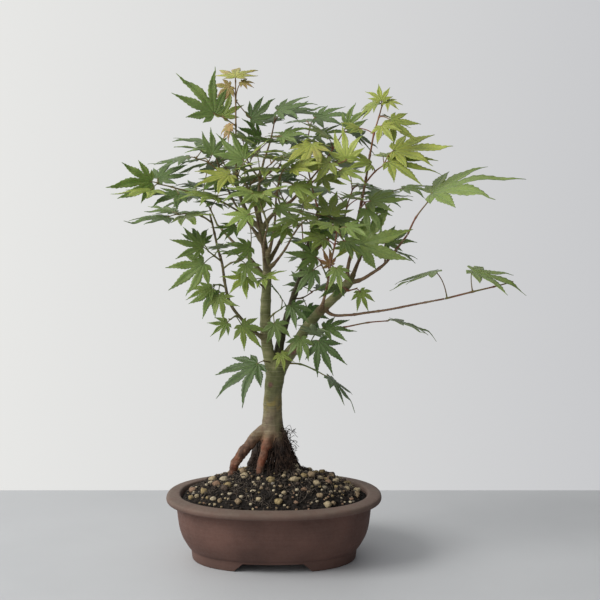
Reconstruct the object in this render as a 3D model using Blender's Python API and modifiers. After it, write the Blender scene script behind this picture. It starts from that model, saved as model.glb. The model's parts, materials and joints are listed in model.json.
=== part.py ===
"""A Japanese maple bonsai in an oval stoneware pot, built as named solids.

Run it with: blender --background --python part.py
Units are metres and +Z is up. The design is laid out round the middle of the pot's footprint, with X
across the pot, Y from front to back and Z up from the table. The last step moves the whole plant so
that the world's origin is on the table at the middle of its overall footprint.
"""

import math

import bmesh
import bpy
from mathutils import Matrix, Vector
from mathutils.bvhtree import BVHTree

MM = 0.001

# Pot. Its outline is given as (inset from the widest line of the rim, height) in millimetres.
POT_WIDTH = 0.220
POT_DEPTH = 0.170
SQUARENESS = 2.25  # exponent of the oval: 2 is an ellipse, and more is fuller at the corners
POT_SIDES = 40
UNDERSIDE = [(38, 9.0), (35.5, 8.4), (34.5, 0)]
OUTSIDE = [(26.6, 0), (25.8, 1), (24.6, 11), (23.2, 12.2), (19.6, 17), (15.8, 24), (13, 33), (11.2, 46)]
LIP = [(10, 58.2), (3.2, 59.4), (0.5, 60.8), (0, 63), (1, 65.3), (4, 66.4), (11.4, 67), (14, 66.2)]
INSIDE = [(15, 62), (17, 48), (19.5, 34), (24, 23), (31, 17.2), (38, 16.5)]
FLOOR_TOP = 16.5 * MM
GAP_TOP = 0.060  # opening between the feet, at its top and on the table
GAP_BOTTOM = 0.079
GAP_HEIGHT = 0.0088
DRAIN_RADIUS = 0.009
DRAIN_X = 0.040
MESH_SIDE = 0.030
MESH_CELLS = 4
MESH_BAR = 0.0014
MESH_THICKNESS = 0.0012

# Soil.
SOIL_EDGE = 61.5 * MM  # where it meets the pot's wall
SOIL_RISE = 0.027  # of the mound above that, at the trunk
SOIL_LUMP = 0.0012
HUMP = (0.018, 0.008)  # middle of the heap of soil against the trunk's right foot
HUMP_RISE = 0.0065
HUMP_REACH = 0.020

CLEARANCE = 0.0004  # between neighbouring solids

# Wood, as routes of (x, y, z, radius) in millimetres. Each starts inside the piece it grows from.
TRUNK = [(-1, 8, 106, 11), (-1, 8, 116, 13.6), (-1, 8, 124, 13), (-1.5, 8, 134, 11), (-1.5, 8, 148, 9.8),
         (-1, 7, 168, 9.3), (1, 6, 184, 9.7), (3, 6, 196, 10), (4, 6, 203, 7)]
ROOTS = [
    [(-3, 7, 131, 8), (-14, 6, 127, 6.2), (-26, 4, 114, 5.5), (-36, 2, 102, 5.1), (-42, 2, 88, 4.6),
     (-43.5, 3, 66, 3.4)],
    [(-2, 3, 128, 7), (-6, -3, 121, 5), (-10, -7, 108, 4.4), (-13.5, -9, 95, 3.7), (-15, -10, 70, 2.5)],
    [(3, 5, 126, 9), (5, 1, 112, 7.4), (7, -2, 98, 6.6), (9, -4, 82, 5.4), (10, -5, 66, 4)],
    [(4, 9, 126, 9), (9, 9, 112, 6.8), (14, 10, 98, 5.8), (20, 11, 84, 4.8), (26, 12, 65, 3.2)],
    [(2, 13, 124, 8), (6, 22, 108, 5.4), (11, 31, 90, 4.4), (14, 36, 66, 3)],
    [(-5, 13, 124, 8), (-15, 23, 108, 5.4), (-24, 31, 88, 4.4), (-29, 35, 66, 3)],
]
LEADER = [(0, 6, 186, 8), (-3.6, 5, 202, 7), (-6.2, 4, 213, 6), (-8, 3, 229, 5.7), (-8.6, 2, 247, 5.5),
          (-7.8, 2, 266, 5.2), (-7, 2, 282, 4.8), (-7, 2, 298, 4.2), (-9, 3, 318, 3.4), (-12, 4, 334, 3.1)]
RIGHT_LIMB = [(3, 6, 188, 8), (11, 5, 202, 7.1), (20, 4, 214, 6.2), (32, 2, 234, 5.4), (47, -2, 253, 5),
              (65, -6, 271, 4.6), (74, -8, 281, 5.2), (78, -9, 286, 4)]
REAR_LIMB = [(4, 8, 192, 7), (5, 12, 212, 4.9), (10, 18, 233, 3.9), (20, 26, 265, 3.4), (27, 30, 284, 3.1),
             (32, 34, 305, 2.9), (38, 38, 327, 2.5), (46, 43, 354, 2)]
LIMBS = [
    LEADER,
    RIGHT_LIMB,
    REAR_LIMB,
    [(-5, 3, 222, 3.4), (-19, -4, 232, 1.9), (-33, -9, 247, 1.8), (-43, -13, 262, 1.7), (-48, -16, 282, 1.6),
     (-51, -16, 303, 1.5), (-55, -15, 317, 1.4), (-59, -13, 335, 1.3), (-63, -12, 352, 1.2)],
    [(76, -8, 283, 3.4), (86, -10, 285, 2), (98, -12, 292, 1.8), (111, -14, 302, 1.6), (122, -16, 316, 1.4),
     (133, -18, 331, 1.2)],
    [(75, -8, 281, 3), (74, -8, 292, 2.1), (76, -8, 305, 1.9), (79, -7, 316, 1.8), (82, -5, 334, 1.7),
     (87, -4, 358, 1.6), (92, -3, 384, 1.4), (97, -1, 414, 1.3)],
    [(51, -3, 257, 3), (57, -8, 251, 1.7), (74, -10, 250, 1.5), (94, -14, 253, 1.4), (113, -17, 256, 1.3),
     (141, -21, 262, 1.2), (170, -25, 268, 1.1)],
    [(-12, 4, 334, 3), (-22, 3, 345, 2.4), (-31, 1, 362, 2.1), (-36, -1, 380, 1.9), (-37, -2, 394, 1.7)],
    [(-12, 4, 334, 2.8), (-2, 2, 349, 2.1), (10, 0, 358, 1.9), (20, -2, 366, 1.7), (31, -4, 380, 1.5)],
    [(-12, 4, 332, 2.8), (-15, 8, 358, 1.9), (-14, 12, 384, 1.6), (-9, 12, 408, 1.3)],
    [(-11, 5, 330, 2.8), (-15, 20, 349, 1.9), (-21, 38, 364, 1.6), (-26, 56, 380, 1.3)],
    [(-7, 3, 300, 3), (4, 22, 318, 1.9), (12, 44, 336, 1.6), (16, 64, 350, 1.3)],
    [(-7, 3, 284, 3), (-26, 24, 306, 1.9), (-44, 42, 322, 1.6), (-60, 56, 338, 1.3)],
    [(31, 33, 302, 2.6), (52, 48, 320, 1.7), (72, 58, 338, 1.3)],
    [(20, 26, 264, 2.8), (26, 48, 280, 1.7), (30, 72, 296, 1.3)],
    [(77, -8, 283, 3), (86, 14, 302, 1.8), (96, 36, 320, 1.5), (104, 54, 336, 1.2)],
    [(-6, 1, 290, 3), (-9, -18, 308, 1.6), (-8, -38, 326, 1.3), (-4, -54, 342, 1.1)],
    [(46, -2, 252, 3), (50, -22, 266, 1.7), (54, -34, 286, 1.4), (57, -40, 308, 1.2)],
    [(-8, 3, 310, 2.6), (-13, -5, 330, 1.5), (-17, -10, 352, 1.3), (-22, -13, 375, 1.1)],
    [(-7, 3, 306, 2.6), (-1, -7, 326, 1.5), (2, -13, 348, 1.3), (3, -17, 370, 1.1)],
    [(-9, 3, 318, 2.4), (-24, 8, 340, 1.5), (-40, 14, 362, 1.3), (-51, 17, 386, 1.1)],
    [(-6, 3, 294, 2.6), (6, -8, 308, 1.5), (14, -16, 320, 1.3), (20, -22, 332, 1.1)],
]
TRUNK_SIDES = 3  # extra pairs of points round each tube beyond four
LIMB_SIDES = 1
SHOOT_RADIUS = 0.0010
STALK_RADIUS = 0.0007

# Blade of a leaf: (angle from the middle lobe in degrees, reach as a share of the middle lobe).
LOBES = [(-76, 0.52), (-54, 0.30), (-35, 0.84), (-17, 0.33), (0, 1), (17, 0.33), (35, 0.84), (54, 0.30),
         (76, 0.52)]
DROOP = 0.08  # how far a lobe's tip hangs below the blade's base, as a share of the middle lobe
BLADE_THICKNESS = 0.0008
STALK_SHARE = 0.62  # length of a paired leaf's stalk, as a share of its blade
LOOKS = {
    "level": (0, 0.04, 1),
    "up": (0, -0.2, 1),
    "slant": (0, -0.38, 0.92),
    "tilt": (0, -0.6, 0.8),
    "front": (0, -1, 0.35),
    "left": (-0.6, -0.6, 0.5),
    "edge": (0.65, -0.12, 0.75),
}

# Leafy shoots, in millimetres. "stem" runs from the wood outwards. Each leaf is (the stem point that
# its stalk leaves, the start of the blade, the tip of the middle lobe, the way its face looks), and
# each pair is (stem point, length of the middle lobe, turn round the stem in degrees).
SHOOTS = {
    "shoot_top_left": {
        "stem": [(-37, -2, 393), (-37, -4, 414), (-37, -5, 438), (-37, -5, 463), (-37, -6, 482)],
        "leaves": [
            (2, (-57, -20, 449), (-86, -28, 492), "front"),
            (4, (-37, -9, 485), (-38, 29, 503), "tilt"),
            (3, (-31, -9, 481), (-17, -12, 476), "tilt"),
            (3, (-42, -6, 477), (-60, -6, 466), "front"),
            (2, (-51, 6, 448), (-38, 12, 475), "front"),
            (3, (-23, 4, 446), (0, 6, 470), "front"),
            (2, (-44, -12, 443), (-57, -18, 431), "left"),
            (1, (-42, 5, 436), (-52, 10, 424), "left"),
        ],
        "pairs": [],
    },
    "shoot_top_crest": {
        "stem": [(-9, 12, 406), (-3, 12, 425), (1, 10, 443)],
        "leaves": [
            (2, (4, 4, 454), (40, -6, 461), "tilt"),
            (2, (12, 18, 453), (58, 26, 460), "slant"),
            (1, (-14, 6, 427), (-34, -16, 438), "front"),
            (1, (14, 16, 424), (46, 22, 430), "slant"),
            (1, (-18, 20, 412), (-44, 38, 416), "up"),
            (2, (2, 20, 444), (-22, 42, 450), "slant"),
            (1, (8, -2, 428), (42, -16, 431), "tilt"),
            (1, (-2, -6, 422), (-6, -36, 427), "tilt"),
        ],
        "pairs": [],
    },
    "shoot_top_back": {
        "stem": [(46, 43, 352), (38, 50, 382), (33, 52, 414), (37, 54, 440)],
        "leaves": [
            (3, (42, 50, 449), (84, 40, 455), "tilt"),
            (3, (34, 60, 446), (20, 96, 452), "up"),
            (2, (50, 60, 418), (84, 76, 412), "tilt"),
            (1, (22, 46, 392), (-12, 52, 396), "tilt"),
            (2, (24, 46, 426), (-8, 36, 431), "tilt"),
            (2, (44, 42, 430), (72, 22, 434), "tilt"),
        ],
        "pairs": [],
    },
    "shoot_top_right": {
        "stem": [(31, -4, 378), (46, 6, 396), (60, 18, 416), (70, 26, 432)],
        "leaves": [
            (3, (74, 22, 438), (92, 8, 458), "front"),
            (3, (80, 34, 434), (108, 52, 420), "tilt"),
            (2, (48, 6, 420), (18, -8, 424), "up"),
            (1, (40, 22, 402), (22, 48, 398), "tilt"),
            (2, (54, 6, 428), (30, -16, 437), "tilt"),
        ],
        "pairs": [],
    },
    "shoot_left_high": {
        "stem": [(-36, -1, 378), (-49, -8, 389), (-64, -12, 402), (-76, -14, 406)],
        "leaves": [
            (2, (-60, -14, 410), (-58, -18, 438), "front"),
            (3, (-69, -22, 414), (-94, -40, 418), "up"),
            (3, (-84, -16, 407), (-127, -22, 398), "up"),
            (1, (-54, -20, 384), (-72, -48, 374), "tilt"),
            (2, (-70, 2, 406), (-96, 22, 404), "up"),
        ],
        "pairs": [],
    },
    "shoot_left_tip": {
        "stem": [(-22, 3, 345), (-51, -8, 363), (-76, -14, 371), (-100, -18, 378), (-113, -20, 381)],
        "leaves": [
            (4, (-119, -22, 383), (-150, -30, 413), "front"),
            (4, (-118, -36, 375), (-160, -52, 374), "up"),
            (4, (-114, -14, 386), (-76, -8, 393), "tilt"),
            (3, (-92, -24, 371), (-118, -48, 368), "tilt"),
            (2, (-77, -8, 378), (-88, 20, 386), "up"),
            (1, (-56, -20, 362), (-66, -54, 362), "tilt"),
        ],
        "pairs": [],
    },
    "shoot_left_middle": {
        "stem": [(-60, -13, 342), (-70, -18, 349), (-82, -20, 352), (-93, -22, 351)],
        "leaves": [
            (3, (-104, -24, 348), (-142, -44, 345), "up"),
            (3, (-99, -14, 353), (-130, 4, 352), "up"),
            (2, (-86, -28, 350), (-70, -60, 344), "tilt"),
            (1, (-78, -4, 352), (-92, 30, 354), "up"),
        ],
        "pairs": [],
    },
    "shoot_left_low": {
        "stem": [(-51, -16, 304), (-58, -20, 310), (-64, -23, 315)],
        "leaves": [
            (2, (-69, -27, 319), (-99, -38, 327), "front"),
            (2, (-69, -19, 322), (-86, 4, 340), "tilt"),
            (1, (-68, -28, 303), (-101, -40, 280), "front"),
            (1, (-52, -32, 318), (-48, -62, 328), "tilt"),
        ],
        "pairs": [],
    },
    "shoot_left_drop": {
        "stem": [(-47, -15, 278), (-53, -16, 281), (-58, -17, 281)],
        "leaves": [
            (2, (-61, -19, 278), (-88, -32, 270), "tilt"),
            (2, (-60, -17, 275), (-74, -22, 248), "front"),
            (1, (-54, -24, 271), (-44, -40, 248), "front"),
        ],
        "pairs": [],
    },
    "shoot_left_narrow": {
        "stem": [(-33, -9, 247), (-38, -11, 249), (-43, -13, 246)],
        "leaves": [
            (2, (-46, -14, 243), (-66, -20, 230), "front"),
            (1, (-32, -15, 241), (-24, -20, 211), "front"),
        ],
        "pairs": [],
    },
    "shoot_left_inner": {
        "stem": [(-50, -16, 297), (-42, -22, 303), (-33, -27, 306)],
        "leaves": [
            (2, (-27, -31, 303), (-15, -40, 277), "front"),
            (2, (-34, -36, 312), (-44, -66, 318), "tilt"),
        ],
        "pairs": [],
    },
    "shoot_low_left": {
        "stem": [(-1, 2, 200), (-9, -8, 203)],
        "leaves": [(1, (-16, -11, 201), (-59, -26, 171), "tilt")],
        "pairs": [],
    },
    "shoot_fork_front": {
        "stem": [(5, 3, 205), (6, -7, 209)],
        "leaves": [(1, (7, -9, 211), (14, -16, 194), "front")],
        "pairs": [],
    },
    "shoot_fork_right": {
        "stem": [(15, 4, 208), (25, -6, 217), (37, -12, 222)],
        "leaves": [
            (2, (45, -16, 225), (62, -22, 186), "front"),
            (2, (41, -16, 231), (38, -42, 250), "tilt"),
            (1, (27, -16, 228), (25, -28, 202), "front"),
            (2, (50, -10, 237), (84, -20, 230), "tilt"),
        ],
        "pairs": [],
    },
    "shoot_low_right": {
        "stem": [(9, 5, 199), (27, -2, 199), (41, -6, 194), (53, -10, 188)],
        "leaves": [(3, (56, -11, 186), (90, -17, 157), "edge")],
        "pairs": [],
    },
    "shoot_centre_front": {
        "stem": [(-7, 2, 242), (0, -9, 251), (8, -16, 257)],
        "leaves": [
            (2, (18, -22, 261), (38, -32, 243), "front"),
            (2, (9, -26, 267), (0, -46, 286), "tilt"),
            (1, (1, -20, 243), (10, -28, 218), "front"),
        ],
        "pairs": [],
    },
    "shoot_centre_back": {
        "stem": [(20, 26, 263), (29, 35, 263), (39, 42, 268)],
        "leaves": [
            (2, (46, 47, 271), (76, 64, 276), "up"),
            (1, (34, 42, 252), (48, 46, 224), "front"),
            (2, (30, 46, 274), (12, 56, 296), "front"),
        ],
        "pairs": [],
    },
    "shoot_narrow_right": {
        "stem": [(33, 2, 235), (53, -2, 234), (71, -4, 237), (95, -6, 242), (115, -8, 244)],
        "leaves": [(4, (121, -9, 245), (170, -14, 230), "level")],
        "pairs": [],
    },
    "shoot_right_drop": {
        "stem": [(67, -7, 273), (75, -14, 275), (82, -16, 277)],
        "leaves": [
            (2, (86, -18, 275), (96, -24, 254), "front"),
            (1, (66, -22, 279), (42, -36, 278), "tilt"),
        ],
        "pairs": [],
    },
    "shoot_young": {
        "stem": [(74, -8, 290), (67, -12, 293), (60, -14, 298)],
        "leaves": [(2, (57, -15, 301), (47, -20, 316), "front")],
        "pairs": [],
    },
    "shoot_far_twig": {
        "stem": [(170, -25, 268), (197, -26, 275), (218, -26, 280), (237, -26, 285)],
        "leaves": [
            (1, (196, -28, 296), (250, -36, 279), "up"),
            (0, (160, -24, 295), (110, -30, 281), "level"),
        ],
        "pairs": [],
    },
    "shoot_right_tip": {
        "stem": [(133, -18, 331), (141, -19, 348), (153, -20, 364)],
        "leaves": [(2, (156, -21, 372), (235, -34, 401), "slant")],
        "pairs": [],
    },
    "shoot_right_branch": {
        "stem": [(111, -14, 301), (112, -6, 312)],
        "leaves": [
            (1, (112, -2, 322), (142, 14, 336), "tilt"),
            (1, (118, 6, 314), (146, 30, 306), "up"),
        ],
        "pairs": [],
    },
    "shoot_red_low": {
        "stem": [(78, -7, 313), (83, -15, 318)],
        "leaves": [
            (1, (86, -22, 322), (141, -36, 337), "front"),
            (1, (76, -24, 320), (56, -44, 312), "tilt"),
        ],
        "pairs": [],
    },
    "shoot_red_middle": {
        "stem": [(87, -4, 357), (91, -11, 362)],
        "leaves": [
            (1, (96, -16, 364), (132, -30, 366), "tilt"),
            (1, (92, -16, 357), (112, -28, 334), "front"),
            (1, (82, -22, 366), (70, -48, 372), "up"),
        ],
        "pairs": [],
    },
    "shoot_red_upper": {
        "stem": [(92, -3, 382), (101, -8, 393), (110, -12, 400)],
        "leaves": [
            (2, (114, -14, 403), (166, -30, 392), "tilt"),
            (2, (120, -4, 414), (172, 4, 399), "tilt"),
            (2, (110, 4, 408), (128, 34, 416), "up"),
            (1, (96, -18, 400), (64, -34, 412), "tilt"),
        ],
        "pairs": [],
    },
    "shoot_red_tip": {
        "stem": [(97, -1, 413), (100, -2, 430), (105, -1, 447), (108, -1, 458)],
        "leaves": [
            (3, (107, -4, 463), (104, 12, 481), "tilt"),
            (3, (113, -1, 463), (130, -8, 458), "tilt"),
            (3, (104, 4, 462), (82, 18, 452), "tilt"),
            (2, (116, -8, 444), (140, -20, 422), "front"),
            (2, (114, 6, 448), (136, 22, 440), "slant"),
            (1, (86, 2, 436), (66, -14, 438), "tilt"),
            (1, (108, -12, 434), (118, -34, 420), "front"),
        ],
        "pairs": [],
    },
    "shoot_yellow": {
        "stem": [(20, -2, 366), (38, -10, 382), (56, -15, 396)],
        "leaves": [
            (2, (72, -18, 404), (92, -34, 434), "front"),
            (2, (38, -18, 420), (2, -34, 404), "tilt"),
            (2, (56, -28, 402), (22, -44, 390), "tilt"),
            (2, (64, -6, 404), (86, 12, 410), "slant"),
            (1, (48, -22, 386), (74, -44, 380), "tilt"),
            (2, (66, -26, 394), (88, -52, 386), "tilt"),
        ],
        "pairs": [],
    },
    "shoot_middle": {
        "stem": [(10, 0, 357), (28, -9, 354), (46, -17, 350)],
        "leaves": [
            (2, (56, -30, 351), (64, 10, 378), "tilt"),
            (2, (44, -30, 346), (12, -48, 348), "tilt"),
            (1, (30, -20, 362), (46, -46, 378), "front"),
            (2, (60, -20, 346), (92, -34, 334), "slant"),
        ],
        "pairs": [],
    },
    "shoot_lower_middle": {
        "stem": [(54, -34, 288), (48, -38, 302)],
        "leaves": [
            (1, (42, -40, 310), (12, -56, 316), "front"),
            (1, (40, -42, 298), (20, -52, 276), "front"),
            (0, (62, -42, 296), (68, -54, 272), "front"),
        ],
        "pairs": [],
    },
    "shoot_front_left": {
        "stem": [(-4, -54, 341), (-8, -60, 354), (-12, -66, 366)],
        "leaves": [
            (2, (-18, -72, 372), (-42, -96, 372), "tilt"),
            (2, (-8, -74, 372), (12, -98, 376), "tilt"),
            (1, (4, -60, 358), (34, -66, 354), "tilt"),
            (1, (-22, -58, 352), (-50, -70, 342), "tilt"),
        ],
        "pairs": [],
    },
    "shoot_front_right": {
        "stem": [(57, -40, 307), (60, -48, 322), (62, -54, 336)],
        "leaves": [
            (2, (58, -62, 342), (40, -86, 338), "tilt"),
            (2, (70, -58, 340), (96, -74, 334), "tilt"),
            (1, (50, -52, 328), (20, -68, 330), "tilt"),
            (1, (70, -44, 326), (96, -52, 316), "tilt"),
        ],
        "pairs": [],
    },
    "shoot_crown": {
        "stem": [(-14, 12, 383), (-4, 4, 392), (6, -6, 398)],
        "leaves": [(2, (8, -16, 404), (2, -48, 410), "tilt")],
        "pairs": [(1, 42, 20)],
    },
    "shoot_inner": {
        "stem": [(-10, 4, 325), (-22, 10, 338), (-30, 14, 352)],
        "leaves": [
            (0, (-22, -4, 320), (-50, -14, 310), "front"),
            (2, (-38, 4, 346), (-62, -12, 336), "tilt"),
        ],
        "pairs": [(2, 42, 20)],
    },
    "shoot_back_left": {
        "stem": [(-60, 56, 337), (-68, 64, 354), (-76, 74, 368)],
        "leaves": [(2, (-88, 82, 374), (-122, 96, 372), "up")],
        "pairs": [(1, 42, 10), (2, 44, 90)],
    },
    "shoot_back_high": {
        "stem": [(-26, 56, 379), (-16, 66, 392), (-4, 76, 402)],
        "leaves": [(2, (2, 84, 408), (16, 118, 412), "up")],
        "pairs": [(0, 42, 20), (1, 42, 90), (2, 44, 0)],
    },
    "shoot_back_right": {
        "stem": [(72, 58, 337), (76, 64, 356), (82, 72, 374)],
        "leaves": [(2, (88, 80, 380), (112, 106, 380), "up")],
        "pairs": [(1, 44, 20), (2, 44, 100)],
    },
    "shoot_back_far_right": {
        "stem": [(104, 54, 335), (108, 61, 350), (114, 70, 364)],
        "leaves": [],
        "pairs": [(2, 40, 0)],
    },
    "shoot_back_low": {
        "stem": [(30, 72, 295), (30, 82, 314), (29, 90, 332)],
        "leaves": [],
        "pairs": [(0, 40, 90), (1, 42, 0), (2, 44, 90)],
    },
    "shoot_back_middle": {
        "stem": [(16, 64, 349), (10, 76, 362), (4, 86, 374)],
        "leaves": [],
        "pairs": [(1, 42, 0), (2, 40, 50)],
    },
    "shoot_middle_left": {
        "stem": [(-31, 1, 361), (-33, -14, 370), (-28, -28, 380)],
        "leaves": [(2, (-24, -38, 384), (-10, -66, 388), "tilt")],
        "pairs": [(1, 42, 20), (2, 40, 90)],
    },
    "shoot_middle_right": {
        "stem": [(8, 0, 357), (4, -14, 372), (6, -26, 386)],
        "leaves": [
            (1, (-8, -22, 368), (-34, -38, 358), "tilt"),
            (2, (14, -36, 392), (34, -62, 392), "tilt"),
        ],
        "pairs": [],
    },
    "shoot_middle_high": {
        "stem": [(-14, 12, 386), (-24, 2, 400), (-28, -8, 414)],
        "leaves": [(2, (-32, -18, 420), (-48, -44, 424), "tilt")],
        "pairs": [(1, 34, 10)],
    },
    "shoot_right_inner": {
        "stem": [(78, -7, 314), (68, 2, 328), (60, 8, 342)],
        "leaves": [(2, (56, 16, 348), (40, 42, 352), "slant")],
        "pairs": [(1, 40, 40)],
    },
    "shoot_crown_left": {
        "stem": [(-22, -13, 374), (-28, -20, 383), (-34, -28, 390)],
        "leaves": [
            (2, (-42, -34, 390), (-74, -52, 381), "tilt"),
            (2, (-30, -38, 396), (-20, -66, 402), "tilt"),
            (2, (-24, -32, 406), (-2, -52, 416), "tilt"),
            (1, (-40, -12, 380), (-66, -22, 366), "tilt"),
        ],
        "pairs": [],
    },
    "shoot_crown_front": {
        "stem": [(3, -17, 369), (6, -28, 382), (9, -38, 392)],
        "leaves": [
            (2, (20, -46, 396), (50, -62, 398), "tilt"),
            (1, (20, -36, 380), (46, -54, 370), "tilt"),
        ],
        "pairs": [],
    },
    "shoot_crown_back": {
        "stem": [(-51, 17, 385), (-56, 24, 398), (-60, 30, 412)],
        "leaves": [(2, (-66, 36, 418), (-88, 58, 422), "slant")],
        "pairs": [(1, 38, 20)],
    },
    "shoot_crown_low": {
        "stem": [(20, -22, 331), (26, -29, 340), (32, -36, 346)],
        "leaves": [
            (2, (40, -42, 342), (68, -56, 324), "tilt"),
            (2, (24, -46, 348), (4, -72, 342), "tilt"),
            (1, (14, -36, 338), (-14, -50, 330), "tilt"),
        ],
        "pairs": [],
    },
    "shoot_leader_front": {
        "stem": [(-7, 2, 272), (-12, -9, 280), (-18, -18, 286)],
        "leaves": [
            (2, (-26, -24, 289), (-52, -40, 292), "tilt"),
            (2, (-14, -28, 292), (4, -52, 302), "tilt"),
        ],
        "pairs": [],
    },
    "shoot_left_inner_high": {
        "stem": [(-36, -1, 380), (-46, 10, 394), (-54, 18, 408)],
        "leaves": [
            (2, (-60, 26, 414), (-80, 46, 416), "slant"),
            (2, (-50, 30, 416), (-36, 62, 418), "slant"),
        ],
        "pairs": [(1, 40, 30)],
    },
}

# How a leaf that would touch its neighbours may turn on its stalk, in degrees, and lift, in metres.
SWINGS = [0, 14, -14, 28, -28, 44, -44]
NODS = [0, 14, -14, 28, -28]
LIFTS = [0, 0.005, -0.005, 0.010, -0.010]
SURFACE_STEP = 0.2 * MM  # between the places tried for where a shoot leaves the wood
SURFACE_TRIES = 400


def clear_scene():
    for obj in list(bpy.data.objects):
        bpy.data.objects.remove(obj, do_unlink=True)


def collection(name, hidden):
    made = bpy.data.collections.new(name)
    bpy.context.scene.collection.children.link(made)
    made.hide_render = hidden
    return made


def finish_material(name, colour, roughness):
    made = bpy.data.materials.new(name)
    made.use_nodes = True
    shader = made.node_tree.nodes["Principled BSDF"]
    shader.inputs["Base Color"].default_value = (*colour, 1)
    shader.inputs["Roughness"].default_value = roughness
    shader.inputs["Metallic"].default_value = 0
    return made


def new_object(name, mesh, into):
    made = bpy.data.objects.new(name, mesh)
    into.objects.link(made)
    return made


def bake(obj):
    """Gives the object the mesh that its modifiers, or its curve's bevel, make."""
    graph = bpy.context.evaluated_depsgraph_get()
    mesh = bpy.data.meshes.new_from_object(obj.evaluated_get(graph))
    if obj.type == "CURVE":
        work = bmesh.new()
        work.from_mesh(mesh)
        bmesh.ops.remove_doubles(work, verts=work.verts, dist=0.01 * MM)
        work.to_mesh(mesh)
        work.free()
    baked = new_object(obj.name + "_mesh", mesh, obj.users_collection[0])
    baked.matrix_world = obj.matrix_world
    name = obj.name
    bpy.data.objects.remove(obj, do_unlink=True)
    baked.name = name
    return baked


def combine(body, pieces, operation, solver="EXACT"):
    """Joins the pieces to the body, or cuts them out of it, and bakes the result."""
    for piece in pieces:
        step = body.modifiers.new(piece.name, "BOOLEAN")
        step.operation = operation
        step.solver = solver
        step.object = piece
    bpy.context.view_layer.update()
    done = bake(body)
    for piece in pieces:
        bpy.data.objects.remove(piece, do_unlink=True)
    return done


def tube(name, points, radii, side_pairs, into):
    """A round rod through the points, with flat closed ends."""
    curve = bpy.data.curves.new(name, "CURVE")
    curve.dimensions = "3D"
    curve.bevel_depth = MM
    curve.bevel_resolution = side_pairs
    curve.use_fill_caps = True
    spline = curve.splines.new("POLY")
    spline.points.add(len(points) - 1)
    for knot, point, radius in zip(spline.points, points, radii):
        knot.co = (*point, 1)
        knot.radius = radius / MM
    rod = new_object(name, curve, into)
    bpy.context.view_layer.update()
    return bake(rod)


def wood(name, route, side_pairs, into, grow=0.0):
    points = [Vector(stop[:3]) * MM for stop in route]
    radii = [stop[3] * MM + grow for stop in route]
    if grow:
        points[-1] = points[-1] + (points[-1] - points[-2]).normalized() * 2 * grow
    return tube(name, points, radii, side_pairs, into)


# Pot


def oval(inset, height):
    """Points round the pot's outline, this far in from the rim's widest line."""
    points = []
    for step in range(POT_SIDES):
        angle = math.tau * step / POT_SIDES
        across = math.copysign(abs(math.cos(angle)) ** (2 / SQUARENESS), math.cos(angle))
        deep = math.copysign(abs(math.sin(angle)) ** (2 / SQUARENESS), math.sin(angle))
        points.append(((POT_WIDTH / 2 - inset) * across, (POT_DEPTH / 2 - inset) * deep, height))
    return points


def loft(name, rings, into):
    """A solid through closed rings of equally many points, with a flat face at each end."""
    work = bmesh.new()
    levels = [[work.verts.new(point) for point in ring] for ring in rings]
    for lower, upper in zip(levels, levels[1:]):
        for here in range(len(lower)):
            after = (here + 1) % len(lower)
            work.faces.new((lower[here], lower[after], upper[after], upper[here]))
    work.faces.new(levels[0])
    work.faces.new(levels[-1])
    bmesh.ops.recalc_face_normals(work, faces=work.faces)
    mesh = bpy.data.meshes.new(name)
    work.to_mesh(mesh)
    work.free()
    return new_object(name, mesh, into)


def foot_gap(into):
    """The opening between the two feet, wider on the table than at its top."""
    top = GAP_TOP / 2
    below = GAP_BOTTOM - GAP_TOP / 2
    section = [(-below, -GAP_HEIGHT), (below, -GAP_HEIGHT), (top, GAP_HEIGHT), (-top, GAP_HEIGHT)]
    ends = (-POT_DEPTH, POT_DEPTH)
    return loft("foot_gap", [[(x, side, z) for x, z in section] for side in ends], into)


def drain_hole(x, into):
    centre = (x, 0, FLOOR_TOP)
    bpy.ops.mesh.primitive_cylinder_add(
        vertices=16, radius=DRAIN_RADIUS, depth=FLOOR_TOP * 2, location=centre
    )
    hole = bpy.context.object
    hole.name = "drain_hole"
    for owner in list(hole.users_collection):
        owner.objects.unlink(hole)
    into.objects.link(hole)
    return hole


def pot(parts, cutters):
    outline = UNDERSIDE + OUTSIDE + LIP + INSIDE
    body = loft("pot", [oval(inset * MM, height * MM) for inset, height in outline], parts)
    holes = [foot_gap(cutters), drain_hole(-DRAIN_X, cutters), drain_hole(DRAIN_X, cutters)]
    return combine(body, holes, "DIFFERENCE")


def drain_mesh(name, x, into):
    """A square of plastic mesh over a drain hole."""
    curve = bpy.data.curves.new(name, "CURVE")
    curve.dimensions = "2D"
    curve.fill_mode = "BOTH"
    curve.extrude = MESH_THICKNESS / 2
    cell = (MESH_SIDE - MESH_BAR) / MESH_CELLS
    windows = [(0, 0, MESH_SIDE)]
    for column in range(MESH_CELLS):
        for row in range(MESH_CELLS):
            middle = (MESH_CELLS - 1) / 2
            windows.append(((column - middle) * cell, (row - middle) * cell, cell - MESH_BAR))
    for across, deep, side in windows:
        spline = curve.splines.new("POLY")
        spline.points.add(3)
        spline.use_cyclic_u = True
        for knot, (sign_x, sign_y) in zip(spline.points, ((-1, -1), (1, -1), (1, 1), (-1, 1))):
            knot.co = (across + sign_x * side / 2, deep + sign_y * side / 2, 0, 1)
    sheet = new_object(name, curve, into)
    sheet.location = (x, 0, FLOOR_TOP + CLEARANCE + MESH_THICKNESS / 2)
    bpy.context.view_layer.update()
    return bake(sheet)


# Soil


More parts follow.
